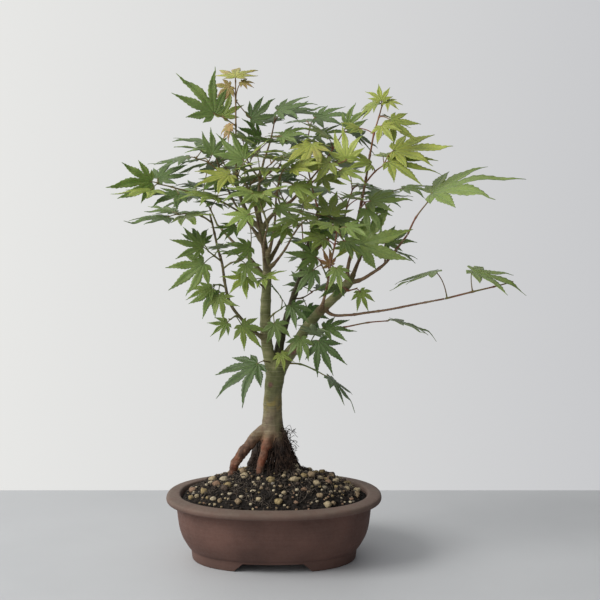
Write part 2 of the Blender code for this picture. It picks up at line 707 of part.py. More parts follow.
def mound_height(x, y, share):
    """Height of the soil at a point this share of the way from the trunk to the pot's wall."""
    angle = math.atan2(y, x)
    rise = SOIL_RISE * (1 - share**2.1)
    heap = HUMP_RISE * math.exp(-((x - HUMP[0]) ** 2 + (y - HUMP[1]) ** 2) / HUMP_REACH**2)
    lumps = math.sin(5 * angle + 9 * share) + math.sin(8 * angle - 14 * share + 1)
    return SOIL_EDGE + rise + heap + SOIL_LUMP * lumps * (1 - share**6)


def soil(parts, cutters):
    wall = [(inset, height) for inset, height in reversed(INSIDE) if height * MM < SOIL_EDGE]
    rings = [oval(inset * MM + CLEARANCE, height * MM + CLEARANCE) for inset, height in wall]
    rim = oval(15.2 * MM + CLEARANCE, SOIL_EDGE)
    rings.append(rim)
    for share in (0.9, 0.76, 0.6, 0.43, 0.25, 0.08):
        ring = []
        for x, y, _ in rim:
            ring.append((x * share, y * share, mound_height(x * share, y * share, share)))
        rings.append(ring)
    body = loft("soil", rings, parts)
    hollows = [wood("root_hollow", route, TRUNK_SIDES, cutters, CLEARANCE) for route in ROOTS]
    pocket = MESH_SIDE / 2 + CLEARANCE
    top = FLOOR_TOP + MESH_THICKNESS + 2 * CLEARANCE
    corners = [(-pocket, -pocket), (pocket, -pocket), (pocket, pocket), (-pocket, pocket)]
    for x in (-DRAIN_X, DRAIN_X):
        levels = [[(x + across, deep, height) for across, deep in corners] for height in (0, top)]
        hollows.append(loft("mesh_pocket", levels, cutters))
    return combine(body, hollows, "DIFFERENCE")


# Tree and leafy shoots


def tree(parts):
    body = wood("tree", TRUNK, TRUNK_SIDES, parts)
    grown = [wood("root", route, LIMB_SIDES, parts) for route in ROOTS]
    grown += [wood("limb", route, LIMB_SIDES, parts) for route in LIMBS]
    return combine(body, grown, "UNION")


def surface_of(obj):
    points = [obj.matrix_world @ vertex.co for vertex in obj.data.vertices]
    return BVHTree.FromPolygons(points, [tuple(face.vertices) for face in obj.data.polygons])


def outside_start(points, wood_surface):
    """The route from where a shoot has just left the wood."""
    clear = SHOOT_RADIUS * 1.5 + CLEARANCE
    start = points[0]
    direction = (points[1] - points[0]).normalized()
    for step in range(SURFACE_TRIES):
        place = start + direction * step * SURFACE_STEP
        near, normal, _, distance = wood_surface.find_nearest(place)
        if (place - near).dot(normal) > 0 and distance > clear:
            return [place, *points[1:]]
    return points


def blade_frame(base, tip, look):
    """Axes along the middle lobe, across the blade and out of its upper face."""
    along = (tip - base).normalized()
    face = (look - along * look.dot(along)).normalized()
    return along, along.cross(face), face


def blade_points(base, tip, look):
    along, across, face = blade_frame(base, tip, look)
    length = (tip - base).length
    points = [base]
    for angle, reach in LOBES:
        turn = math.radians(angle)
        out = along * math.cos(turn) + across * math.sin(turn)
        points.append(base + (out * reach - face * DROOP * reach**2) * length)
    return points


def fan(points):
    return [(0, here, here + 1) for here in range(1, len(points) - 1)]


def leaf(name, foot, base, tip, look, into):
    """A blade and its stalk, cut from one thin sheet."""
    across = blade_frame(base, tip, look)[1]
    half = across * STALK_RADIUS
    lobes = blade_points(base, tip, look)[1:]
    points = [foot - half, foot + half, base + half, base - half, *lobes]
    first = 4
    last = first + len(lobes) - 1
    middle = (first + last) // 2
    faces = [(0, 1, 2, 3), (3, 2, middle)]
    faces += [(3, here + 1, here) for here in range(first, middle)]
    faces += [(2, here + 1, here) for here in range(middle, last)]
    mesh = bpy.data.meshes.new(name)
    mesh.from_pydata(points, [], faces)
    sheet = new_object(name, mesh, into)
    skin = sheet.modifiers.new("thickness", "SOLIDIFY")
    skin.thickness = BLADE_THICKNESS
    skin.offset = 0
    bpy.context.view_layer.update()
    return bake(sheet)


def probe_blade(base, tip, look):
    """The blade's two faces with room to spare, to test for touching."""
    points = blade_points(base, tip, look)
    face = blade_frame(base, tip, look)[2]
    room = BLADE_THICKNESS / 2 + CLEARANCE * 1.5
    both = [point + face * side * room for side in (-1, 1) for point in points]
    first = fan(points)
    second = [tuple(corner + len(points) for corner in triangle) for triangle in first]
    edges = [(here, here + 1, here + 1 + len(points), here + len(points)) for here in range(len(points) - 1)]
    return BVHTree.FromPolygons(both, first + second + edges)


def probe_rod(start, end, radius):
    """A four-sided rod with room to spare, to test for touching."""
    direction = (end - start).normalized()
    side = direction.orthogonal().normalized()
    other = direction.cross(side)
    room = radius + CLEARANCE * 1.5
    corners = [side * room, other * room, -side * room, -other * room]
    points = [place + corner for place in (start, end) for corner in corners]
    faces = [(here, (here + 1) % 4, (here + 1) % 4 + 4, here + 4) for here in range(4)]
    return BVHTree.FromPolygons(points, faces)


def probe_stem(points):
    return [probe_rod(start, end, SHOOT_RADIUS) for start, end in zip(points, points[1:])]


def touches(probe, surfaces):
    return any(probe.overlap(surface) for surface in surfaces)


def settle(foot, base, tip, look, others, own):
    """Turns and lifts a leaf until it is clear of its neighbours: (base, tip), or None."""
    along, across, face = blade_frame(base, tip, look)
    for lift in LIFTS:
        for nod in NODS:
            for swing in SWINGS:
                nodded = Matrix.Rotation(math.radians(nod), 3, across)
                turn = Matrix.Rotation(math.radians(swing), 3, face) @ nodded
                new_base = base + face * lift
                new_tip = new_base + turn @ (tip - base)
                new_look = turn @ face
                blade = probe_blade(new_base, new_tip, new_look)
                if touches(blade, others + own):
                    continue
                if not touches(probe_rod(foot, new_base, STALK_RADIUS), others):
                    return new_base, new_tip, new_look
    return None


def paired_leaves(stem, node, size, turn):
    """A pair of leaves opposite each other on the stem, as (foot, base, tip, look)."""
    place = stem[node]
    before = stem[max(node - 1, 0)]
    direction = (place - before if node else stem[1] - place).normalized()
    side = direction.cross(Vector((0, 0, 1))).normalized()
    side = Matrix.Rotation(math.radians(turn), 3, direction) @ side
    leaves = []
    for sign in (-1, 1):
        stalk = (direction * 0.55 + side * sign + Vector((0, 0, 0.15))).normalized()
        base = place + stalk * STALK_SHARE * size
        out = Vector((stalk.x, stalk.y, stalk.z * 0.4 - 0.2)).normalized()
        leaves.append((place, base, base + out * size, Vector((0, -0.3, 1))))
    return leaves


def leaf_list(stem, plan):
    leaves = []
    for node, base, tip, look in plan["leaves"]:
        leaves.append((stem[node], Vector(base) * MM, Vector(tip) * MM, Vector(LOOKS[look])))
    for node, size, turn in plan["pairs"]:
        leaves += paired_leaves(stem, node, size * MM, turn)
    return leaves


def shoots(trunk, parts):
    wood_surface = surface_of(trunk)
    stems = {}
    for name, plan in SHOOTS.items():
        points = outside_start([Vector(point) * MM for point in plan["stem"]], wood_surface)
        radii = [SHOOT_RADIUS] * (len(points) - 1) + [SHOOT_RADIUS * 0.8]
        stems[name] = points, tube(name, points, radii, 0, parts)
    stem_probes = {name: probe_stem(points) for name, (points, _) in stems.items()}
    placed = {name: [] for name in SHOOTS}
    finished = []
    for name, plan in SHOOTS.items():
        points, body = stems[name]
        pieces = []
        for foot, base, tip, look in leaf_list(points, plan):
            others = [wood_surface]
            for other, surfaces in placed.items():
                if other != name:
                    others += stem_probes[other] + surfaces
            own = stem_probes[name] + placed[name]
            spot = settle(foot, base, tip, look, others, own)
            if spot is None:
                print(f"{name}: no room for the leaf at {tuple(round(value, 3) for value in base)}")
                continue
            placed[name] += [probe_blade(*spot), probe_rod(foot, spot[0], STALK_RADIUS)]
            pieces.append(leaf("leaf", foot, *spot, parts))
        finished.append(combine(body, pieces, "UNION", "MANIFOLD"))
    return finished


def centre_footprint(objects):
    """Moves everything so that the origin is under the middle of the plant."""
    bpy.context.view_layer.update()
    corners = [obj.matrix_world @ vertex.co for obj in objects for vertex in obj.data.vertices]
    x = (min(corner.x for corner in corners) + max(corner.x for corner in corners)) / 2
    y = (min(corner.y for corner in corners) + max(corner.y for corner in corners)) / 2
    for obj in objects:
        obj.location -= Vector((x, y, 0))
    print(f"the pot's middle is at {-x:.5f}, {-y:.5f}")


def main():
    clear_scene()
    parts = collection("maple_bonsai", False)
    cutters = collection("cutters", True)
    clay = finish_material("unglazed_stoneware", (0.105, 0.062, 0.050), 0.75)
    plastic = finish_material("mesh_plastic", (0.02, 0.02, 0.02), 0.5)
    earth = finish_material("potting_soil", (0.020, 0.014, 0.010), 0.95)
    bark = finish_material("maple_bark", (0.16, 0.13, 0.075), 0.8)
    green = finish_material("maple_leaf", (0.05, 0.12, 0.03), 0.55)
    trunk = tree(parts)
    made = [
        (pot(parts, cutters), clay),
        (drain_mesh("drain_mesh_left", -DRAIN_X, parts), plastic),
        (drain_mesh("drain_mesh_right", DRAIN_X, parts), plastic),
        (soil(parts, cutters), earth),
        (trunk, bark),
    ]
    made += [(shoot, green) for shoot in shoots(trunk, parts)]
    for obj, finish in made:
        obj.data.materials.clear()
        obj.data.materials.append(finish)
        obj.data.shade_smooth()
        obj.data.set_sharp_from_angle(angle=math.radians(35))
    centre_footprint([obj for obj, _ in made])


main()
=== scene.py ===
# %% [markdown]
# # A Japanese maple bonsai in a stoneware pot
# The plant is a young Japanese maple about half a metre tall. Its trunk stands on bare roots, forks low
# down and ends in thin shoots with lobed leaves. It grows in an oval, unglazed pot on two feet.
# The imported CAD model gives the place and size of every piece. This script gives each one its looks.

import json
import math
import random

import bmesh
import bpy
import numpy as np
from mathutils import Matrix, Vector, noise
from mathutils.bvhtree import BVHTree
from mathutils.kdtree import KDTree

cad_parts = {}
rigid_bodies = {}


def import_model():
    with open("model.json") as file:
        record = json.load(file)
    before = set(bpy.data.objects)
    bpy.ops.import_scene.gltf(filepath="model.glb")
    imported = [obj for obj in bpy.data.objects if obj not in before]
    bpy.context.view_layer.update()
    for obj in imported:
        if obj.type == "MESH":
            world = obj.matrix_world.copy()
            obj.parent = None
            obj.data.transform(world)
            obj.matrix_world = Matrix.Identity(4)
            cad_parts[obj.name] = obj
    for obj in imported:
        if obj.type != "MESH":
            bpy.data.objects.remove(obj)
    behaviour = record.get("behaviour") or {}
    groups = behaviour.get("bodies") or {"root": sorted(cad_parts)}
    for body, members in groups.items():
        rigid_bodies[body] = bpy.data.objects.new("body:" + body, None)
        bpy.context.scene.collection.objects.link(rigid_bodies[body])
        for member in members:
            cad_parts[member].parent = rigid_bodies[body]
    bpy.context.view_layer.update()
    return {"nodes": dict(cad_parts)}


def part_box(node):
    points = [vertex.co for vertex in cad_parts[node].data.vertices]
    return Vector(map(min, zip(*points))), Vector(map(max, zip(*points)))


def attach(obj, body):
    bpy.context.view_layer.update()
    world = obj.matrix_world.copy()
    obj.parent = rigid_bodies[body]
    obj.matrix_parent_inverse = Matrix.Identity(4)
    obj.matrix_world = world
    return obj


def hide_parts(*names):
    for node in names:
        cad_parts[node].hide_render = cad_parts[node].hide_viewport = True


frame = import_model()
noise.seed_set(1)
MM = 0.001
pot_low, pot_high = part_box("pot")
POT = Vector(((pot_low.x + pot_high.x) / 2, (pot_low.y + pot_high.y) / 2, 0))
print("pot's middle:", tuple(round(value, 4) for value in POT))

# %% [markdown]
# ## Helpers for objects
# Every piece is modelled round the middle of the pot, because that is how a grower looks at a bonsai.
# `add_piece` then sets it down in the frame, makes it ride on the plant's one body, and hides the CAD
# nodes it stands for. `modify` adds a modifier, `applied` turns the result into a plain mesh, and
# `clean_mesh` welds it.

# %% Object helpers
def add_piece(name, mesh, finishes, nodes=()):
    piece = loose_object(name, mesh)
    piece.location = POT
    mesh.materials.clear()
    for finish in finishes:
        mesh.materials.append(finish)
    mesh.shade_smooth()
    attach(piece, "root")
    if nodes:
        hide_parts(*nodes)
    return piece


def written(work, mesh):
    """Writes edited geometry to a mesh, with its normals facing out."""
    bmesh.ops.recalc_face_normals(work, faces=work.faces)
    work.to_mesh(mesh)
    work.free()
    return mesh


def clean_mesh(mesh):
    work = bmesh.new()
    work.from_mesh(mesh)
    bmesh.ops.remove_doubles(work, verts=work.verts, dist=0.01 * MM)
    return written(work, mesh)


def applied(obj):
    """The mesh that an object's modifiers, or its curve's bevel, make. The object is removed."""
    bpy.context.view_layer.update()
    graph = bpy.context.evaluated_depsgraph_get()
    mesh = bpy.data.meshes.new_from_object(obj.evaluated_get(graph))
    bpy.data.objects.remove(obj, do_unlink=True)
    return mesh


def modify(obj, kind, **settings):
    made = obj.modifiers.new(kind.lower(), kind)
    for setting, value in settings.items():
        setattr(made, setting, value)


def loose_object(name, data):
    made = bpy.data.objects.new(name, data)
    bpy.context.scene.collection.objects.link(made)
    return made


# %% [markdown]
# ## Helpers for materials
# Each finish is a small graph of nodes that feeds one Principled shader. Helpers keep the graphs short:
# `node` adds a node and fills its sockets, `attribute` reads a number painted on the mesh, and `spread`
# stretches a factor to a new range.

# %% Node helpers
def node(tree, kind, sockets=None, **settings):
    made = tree.nodes.new("ShaderNode" + kind)
    for setting, value in settings.items():
        setattr(made, setting, value)
    for socket, value in (sockets or {}).items():
        if isinstance(value, bpy.types.NodeSocket):
            tree.links.new(value, made.inputs[socket])
        else:
            made.inputs[socket].default_value = value
    return made


def new_finish(name, roughness, specular):
    finish = bpy.data.materials.new(name)
    finish.use_nodes = True
    shader = finish.node_tree.nodes["Principled BSDF"]
    shader.inputs["Roughness"].default_value = roughness
    shader.inputs["Specular IOR Level"].default_value = specular
    return finish, finish.node_tree, shader


def spread(tree, factor, low, high, to_low=0.0, to_high=1.0):
    sockets = {"Value": factor, "From Min": low, "From Max": high, "To Min": to_low, "To Max": to_high}
    return node(tree, "MapRange", sockets).outputs["Result"]


def calculate(tree, operation, first, second=0.0):
    return node(tree, "Math", {0: first, 1: second}, operation=operation).outputs[0]


def times(tree, first, second):
    return calculate(tree, "MULTIPLY", first, second)


def attribute(tree, name, output="Fac"):
    return node(tree, "Attribute", attribute_name=name).outputs[output]


print("a node takes sockets and settings")

# %% [markdown]
# ## Helpers for colour and relief
# `grain` is cloudy noise, `ramp` turns a factor into colours, `blend` mixes two colours, and `paint` and
# `bump` feed the shader. Textures use object coordinates, so one metre in the texture is one metre of
# plant. `mottled` is a whole finish for plain things: two tones and one fine relief.

# %% Colour and relief helpers
def ramp(tree, factor, stops):
    made = node(tree, "ValToRGB", {"Fac": factor})
    points = made.color_ramp.elements
    while len(points) < len(stops):
        points.new(0.5)
    for point, (place, colour) in zip(points, stops):
        point.position = place
        point.color = (*colour, 1)
    return made.outputs["Color"]


def clouds(tree, scale, detail, dark, light, low=0.35, high=0.65):
    """Two colours mixed by cloudy noise."""
    return ramp(tree, grain(tree, scale, detail), [(low, dark), (high, light)])


def blend(tree, factor, first, second):
    made = node(tree, "Mix", {"Factor": factor}, data_type="RGBA")
    for socket, value in ((made.inputs[6], first), (made.inputs[7], second)):
        if isinstance(value, bpy.types.NodeSocket):
            tree.links.new(value, socket)
        else:
            socket.default_value = (*value, 1)
    return made.outputs[2]


def grain(tree, scale, detail=3, stretch=(1, 1, 1)):
    """Cloudy noise in object space, as a factor. Stretch squeezes it along X, Y or Z."""
    place = node(tree, "TexCoord").outputs["Object"]
    mapped = node(tree, "Mapping", {"Vector": place, "Scale": stretch}).outputs["Vector"]
    sockets = {"Vector": mapped, "Scale": scale, "Detail": detail, "Roughness": 0.55}
    return node(tree, "TexNoise", sockets).outputs["Fac"]


def paint(tree, shader, colour, rough=None):
    """Feeds the shader's colour, and its roughness if one is given."""
    tree.links.new(colour, shader.inputs["Base Color"])
    if rough:
        tree.links.new(rough, shader.inputs["Roughness"])


def bump(tree, shader, height, depth, normal=None):
    sockets = {"Height": height, "Distance": depth, "Strength": 1.0}
    if normal:
        sockets["Normal"] = normal
    made = node(tree, "Bump", sockets).outputs["Normal"]
    tree.links.new(made, shader.inputs["Normal"])
    return made


def place_along(tree, axis):
    place = node(tree, "TexCoord").outputs["Object"]
    return node(tree, "SeparateXYZ", {"Vector": place}).outputs[axis]


def mottled(name, surface, noise_size, dark, light, relief):
    """A plain finish of two tones. Surface is roughness and specular, noise_size scale and detail."""
    finish, tree, shader = new_finish(name, *surface)
    paint(tree, shader, ramp(tree, grain(tree, *noise_size), [dark, light]))
    scale, detail, depth = relief
    bump(tree, shader, grain(tree, scale, detail), depth)
    return finish


def height_above_table(tree):
    return place_along(tree, "Z")


def sunny_side(tree):
    """A factor from 0.25 on the shaded left of the plant to 1 on its right."""
    return spread(tree, place_along(tree, "X"), -0.03, 0.05, 0.25, 1)


print("finishes are made from noise, ramps and relief")

# %% [markdown]
# ## Stoneware
# The pot is unglazed clay, fired to a reddish brown. Up close such clay is not one colour: it has slow
# cloudy patches from the kiln, fine grit, and faint level streaks from the potter's sponge. The rim is
# greyer, because hands and water wear it. Noise at three sizes gives those, and height gives the rim.

# %% Stoneware finish
def stoneware():
    finish, tree, shader = new_finish("unglazed_stoneware", 0.74, 0.28)
    patches = clouds(tree, 26, 4, (0.088, 0.046, 0.037), (0.138, 0.072, 0.057), 0.34, 0.68)
    streaks = spread(tree, grain(tree, 60, 3, (0.25, 0.25, 6)), 0.35, 0.7)
    streaked = blend(tree, times(tree, streaks, 0.14), patches, (0.160, 0.104, 0.087))
    grit = spread(tree, grain(tree, 1500, 2), 0.60, 0.72)
    speckled = blend(tree, times(tree, grit, 0.45), streaked, (0.050, 0.030, 0.026))
    pale = spread(tree, grain(tree, 1100, 2, (1, 1, 1.2)), 0.66, 0.76)
    speckled = blend(tree, times(tree, pale, 0.35), speckled, (0.24, 0.175, 0.145))
    rim = spread(tree, height_above_table(tree), 0.0575, 0.0655)
    worn = times(tree, rim, spread(tree, grain(tree, 90, 4), 0.25, 0.65, 0.35, 0.75))
    worn_clay = blend(tree, worn, speckled, (0.150, 0.118, 0.094))
    # The clay is darker towards the foot, over the lowest 14 mm above the table.
    foot = spread(tree, height_above_table(tree), 0.014, 0.003)
    darkened = blend(tree, times(tree, foot, 0.35), worn_clay, (0.080, 0.052, 0.043))
    paint(tree, shader, darkened, spread(tree, grain(tree, 300, 3), 0.3, 0.7, 0.62, 0.86))
    fine = bump(tree, shader, grain(tree, 1500, 3), 0.00012)
    bump(tree, shader, grain(tree, 130, 3, (0.5, 0.5, 2)), 0.0003, fine)
    return finish


clay = stoneware()
print("made", clay.name)

# %% [markdown]
# ## The pot
# A potter presses an oval pot like this in a mould: a foot ring, a belly that leans out, and a lip that
# overhangs. In Blender the natural way is a loft. Ovals of the same number of points are stacked up the
# outside, over the lip and down the inside, each inset from the rim's widest line, and bridged by faces.
# The outline is the CAD's, as pairs of inset and height in millimetres. A smooth curve is drawn through
# its points so that no facets show.

# %% Outline of the pot
POT_WIDTH = pot_high.x - pot_low.x
POT_DEPTH = pot_high.y - pot_low.y
SQUARENESS = 2.25
POT_SIDES = 168
UNDERSIDE = [(60, 9), (38, 9.0), (35.6, 8.4), (34.6, 1), (33.6, 0)]
OUTSIDE = [(27, 0), (26.1, 0.5), (25.8, 1.2), (24.6, 10.6), (23.9, 11.4), (22.6, 12.4), (19.6, 17),
           (15.8, 24), (13, 33), (11.2, 46), (10.2, 56.6)]
LIP = [(9.8, 58.0), (8.6, 58.7), (3.2, 59.4), (1.2, 60), (0.3, 61.2), (0, 63), (0.35, 64.4), (1.4, 65.5),
       (4, 66.3), (11.4, 66.95), (13.2, 66.8), (14.2, 66.0)]
INSIDE = [(15, 62), (17, 48), (19.5, 34), (24, 23), (31, 17.2), (60, 16.5)]


def squared(share):
    return math.copysign(abs(share) ** (2 / SQUARENESS), share)


def oval(inset, height):
    points = []
    for step in range(POT_SIDES):
        angle = math.tau * step / POT_SIDES
        across, deep = squared(math.cos(angle)), squared(math.sin(angle))
        points.append(((POT_WIDTH / 2 - inset) * across, (POT_DEPTH / 2 - inset) * deep, height))
    return points


print("each oval has", POT_SIDES, "points")

# %% [markdown]
# ## Smooth lines and lofts
# `smooth_line` draws a gentle curve through a few points, for the pot's outline here and for roots and
# stems later. `loft` bridges a stack of rings with faces and closes both ends.

# %% Smooth lines and lofts
def smooth_line(points, per_gap):
    """A curve through the points that turns gently at each one, as a list of points."""
    points = np.array(points, float)
    last = len(points) - 1
    line = []
    for here in range(last):
        before, start, end, after = points[[max(here - 1, 0), here, here + 1, min(here + 2, last)]]
        span = np.linalg.norm(end - start)
        lead_in = (end - before) * span / (span + np.linalg.norm(start - before) + 1e-9)
        lead_out = (after - start) * span / (np.linalg.norm(after - end) + span + 1e-9)
        for step in range(per_gap):
            t = step / per_gap
            from_start = start * (2 * t**3 - 3 * t**2 + 1) + lead_in * (t**3 - 2 * t**2 + t)
            line.append(from_start + end * (3 * t**2 - 2 * t**3) + lead_out * (t**3 - t**2))
    line.append(points[-1])
    return line


def loft(name, rings):
    """A closed mesh through rings of equally many points, with a face at each end."""
    work = bmesh.new()
    levels = [[work.verts.new(point) for point in ring] for ring in rings]
    for lower, upper in zip(levels, levels[1:]):
        for here in range(len(lower)):
            after = (here + 1) % len(lower)
            work.faces.new((lower[here], lower[after], upper[after], upper[here]))
    work.faces.new(levels[0])
    work.faces.new(levels[-1])
    return written(work, bpy.data.meshes.new(name))


print("the lip's curve has", len(smooth_line(LIP, 3)), "points")

# %% [markdown]
# ## Feet and drain holes
# The foot ring is cut away at the front and back, which leaves two feet, and two drain holes go through
# the floor. Boolean cuts by simple solids make those, and a small bevel softens every hard edge, as a
# potter's sponge does.

# %% Pot
SOFT_EDGE = 0.0009
DRAIN_X = 0.040
DRAIN_RADIUS = 0.009
GAP_TOP = 0.060
GAP_BOTTOM = 0.079
GAP_HEIGHT = 0.0088


def foot_gap():
    flare = (GAP_BOTTOM - GAP_TOP) / 2
    bottom = GAP_BOTTOM / 2 + flare
    top = GAP_TOP / 2
    section = [(-bottom, -GAP_HEIGHT), (bottom, -GAP_HEIGHT), (top, GAP_HEIGHT), (-top, GAP_HEIGHT)]
    return loft("foot_gap", [[(x, side, z) for x, z in section] for side in (-POT_DEPTH, POT_DEPTH)])


def round_cutter(x):
    rings = []
    for height in (0.0, 0.03):
        turns = [math.tau * step / 32 for step in range(32)]
        rings.append([(x + DRAIN_RADIUS * math.cos(a), DRAIN_RADIUS * math.sin(a), height) for a in turns])
    return loft("drain_cutter", rings)


def pot_mesh():
    outline = list(UNDERSIDE)
    for part in (OUTSIDE, LIP, INSIDE):
        outline += [tuple(point) for point in smooth_line(part, 3)]
    body = loose_object("pot_body", loft("pot_body", [oval(i * MM, h * MM) for i, h in outline]))
    cutters = [foot_gap(), round_cutter(-DRAIN_X), round_cutter(DRAIN_X)]
    for cutter in [loose_object(mesh.name, mesh) for mesh in cutters]:
        cutter.hide_render = True
        modify(body, "BOOLEAN", operation="DIFFERENCE", object=cutter)
    modify(body, "BEVEL", width=SOFT_EDGE, segments=3, limit_method="ANGLE", angle_limit=math.radians(40))
    mesh = applied(body)
    for obj in [o for o in bpy.data.objects if o.name.startswith(("foot_gap", "drain_cutter"))]:
        bpy.data.objects.remove(obj, do_unlink=True)
    return mesh


pot = add_piece("pot_body", pot_mesh(), [clay], ["pot"])
pot.data.set_sharp_from_angle(angle=math.radians(50))
print("pot:", len(pot.data.polygons), "faces, height", round(pot.dimensions.z, 4))

# %% [markdown]
# ## Drain mesh
# Under the soil, two squares of black plastic mesh keep it from washing out of the drain holes. The CAD
# pieces already have the right shape, so they only need a moulded plastic finish.

# %% Drain mesh finish
plastic = mottled("mesh_plastic", (0.5, 0.5), (400, 2), (0.3, (0.012, 0.012, 0.013)),
                  (0.7, (0.03, 0.03, 0.032)), (2500, 2, 0.00003))
for name in ("drain_mesh_left", "drain_mesh_right"):
    frame["nodes"][name].data.materials.clear()
    frame["nodes"][name].data.materials.append(plastic)
print("drain meshes finished")

# %% [markdown]
# ## Soil
# The mix is dark, fibrous compost, mounded up to the trunk and a finger's width below the rim. Its body
# is a loft that follows the inside of the pot, closed by the mound. `ground` gives the mound's height at
# any point, because the grains and roots that come later have to sit on it. Two low heaps, given as
# X, Y, rise and reach, are banked up against the roots.

# %% Soil body
SOIL_EDGE = 61.5 * MM
SOIL_RISE = 0.027
SOIL_RINGS = 46
HEAPS = [(0.018, 0.008, 0.0065, 0.020), (-0.014, 0.002, 0.0085, 0.014)]
WALL_INSET = 15.6 * MM
EDGE_X = POT_WIDTH / 2 - WALL_INSET
EDGE_Y = POT_DEPTH / 2 - WALL_INSET


def oval_share(x, y):
    """How far a point is from the middle, as a share of the way to the soil's edge."""
    return ((abs(x) / EDGE_X) ** SQUARENESS + (abs(y) / EDGE_Y) ** SQUARENESS) ** (1 / SQUARENESS)


def ground(x, y):
    share = min(oval_share(x, y), 1)
    lumps = noise.noise(Vector((x, y, 0.3)) * 55) * 3.2 + noise.noise(Vector((x, y, 0.7)) * 140) * 1.3
    crumbs = noise.noise(Vector((x, y, 0.1)) * 420) * 0.9
    heap = sum(top * math.exp(-((x - across) ** 2 + (y - deep) ** 2) / reach**2)
               for across, deep, top, reach in HEAPS)
    rise = SOIL_RISE * (1 - share**2.1) + heap
    return SOIL_EDGE + rise + (lumps + crumbs) * MM * (1 - 0.6 * share**8)


def soil_mesh():
    rings = []
    for inset, height in reversed(INSIDE[:-1]):
        if height * MM < SOIL_EDGE:
            rings.append(oval(inset * MM + 0.0006, height * MM + 0.0004))
    for step in range(SOIL_RINGS):
        share = 1 - step / SOIL_RINGS
        ring = [(x * share, y * share, 0) for x, y, _ in oval(WALL_INSET, 0)]
        rings.append([(x, y, ground(x, y)) for x, y, _ in ring])
    return loft("soil", rings)


def soil_finish():
    finish, tree, shader = new_finish("potting_soil", 0.93, 0.2)
    paint(tree, shader, ramp(tree, grain(tree, 260, 5), [
        (0.30, (0.006, 0.0052, 0.005)), (0.55, (0.017, 0.014, 0.012)), (0.78, (0.044, 0.034, 0.027))]))
    fine = bump(tree, shader, grain(tree, 1300, 3), 0.0006)
    bump(tree, shader, grain(tree, 420, 4), 0.0018, fine)
    return finish


earth = soil_finish()
soil = add_piece("soil_body", soil_mesh(), [earth], ["soil"])
print("soil: top at", round(max(v.co.z for v in soil.data.vertices), 4))

# %% [markdown]
# ## Wood routes
# Roots, trunk and limbs follow the same routes as in the CAD: points of X, Y, Z and radius in
# millimetres, each route starting inside the wood that it grows from.

# %% Routes of the roots, trunk and limbs
TRUNK = [(-1, 8, 106, 11), (-1, 8, 116, 13.6), (-1, 8, 124, 13), (-1.5, 8, 134, 11), (-1.5, 8, 148, 9.8),
         (-1, 7, 168, 9.3), (1, 6, 184, 9.7), (3, 6, 196, 10), (4, 6, 203, 7)]
ROOTS = [
    [(-3, 7, 131, 8), (-14, 6, 127, 6.2), (-26, 4, 114, 5.5), (-36, 2, 102, 5.1), (-42, 2, 88, 4.6),
     (-43.5, 3, 66, 3.4)],
    [(-2, 3, 128, 7), (-6, -3, 121, 5), (-10, -7, 108, 4.4), (-13.5, -9, 95, 3.7), (-15, -10, 70, 2.5)],
    [(3, 5, 126, 9), (5, 1, 112, 7.4), (7, -2, 98, 6.6), (9, -4, 82, 5.4), (10, -5, 66, 4)],
    [(4, 9, 126, 9), (9, 9, 112, 6.8), (14, 10, 98, 5.8), (20, 11, 84, 4.8), (26, 12, 65, 3.2)],
    [(2, 13, 124, 8), (6, 22, 108, 5.4), (11, 31, 90, 4.4), (14, 36, 66, 3)],
    [(-5, 13, 124, 8), (-15, 23, 108, 5.4), (-24, 31, 88, 4.4), (-29, 35, 66, 3)],
]
LEADER = [(0, 6, 186, 8), (-3.6, 5, 202, 7), (-6.2, 4, 213, 6), (-8, 3, 229, 5.7), (-8.6, 2, 247, 5.5),
          (-7.8, 2, 266, 5.2), (-7, 2, 282, 4.8), (-7, 2, 298, 4.2), (-9, 3, 318, 3.4), (-12, 4, 334, 3.1)]
RIGHT_LIMB = [(3, 6, 188, 8), (11, 5, 202, 7.1), (20, 4, 214, 6.2), (32, 2, 234, 5.4), (47, -2, 253, 5),
              (65, -6, 271, 4.6), (74, -8, 281, 5.2), (78, -9, 286, 4)]
REAR_LIMB = [(4, 8, 192, 7), (5, 12, 212, 4.9), (10, 18, 233, 3.9), (20, 26, 265, 3.4), (27, 30, 284, 3.1),
             (32, 34, 305, 2.9), (38, 38, 327, 2.5), (46, 43, 354, 2)]
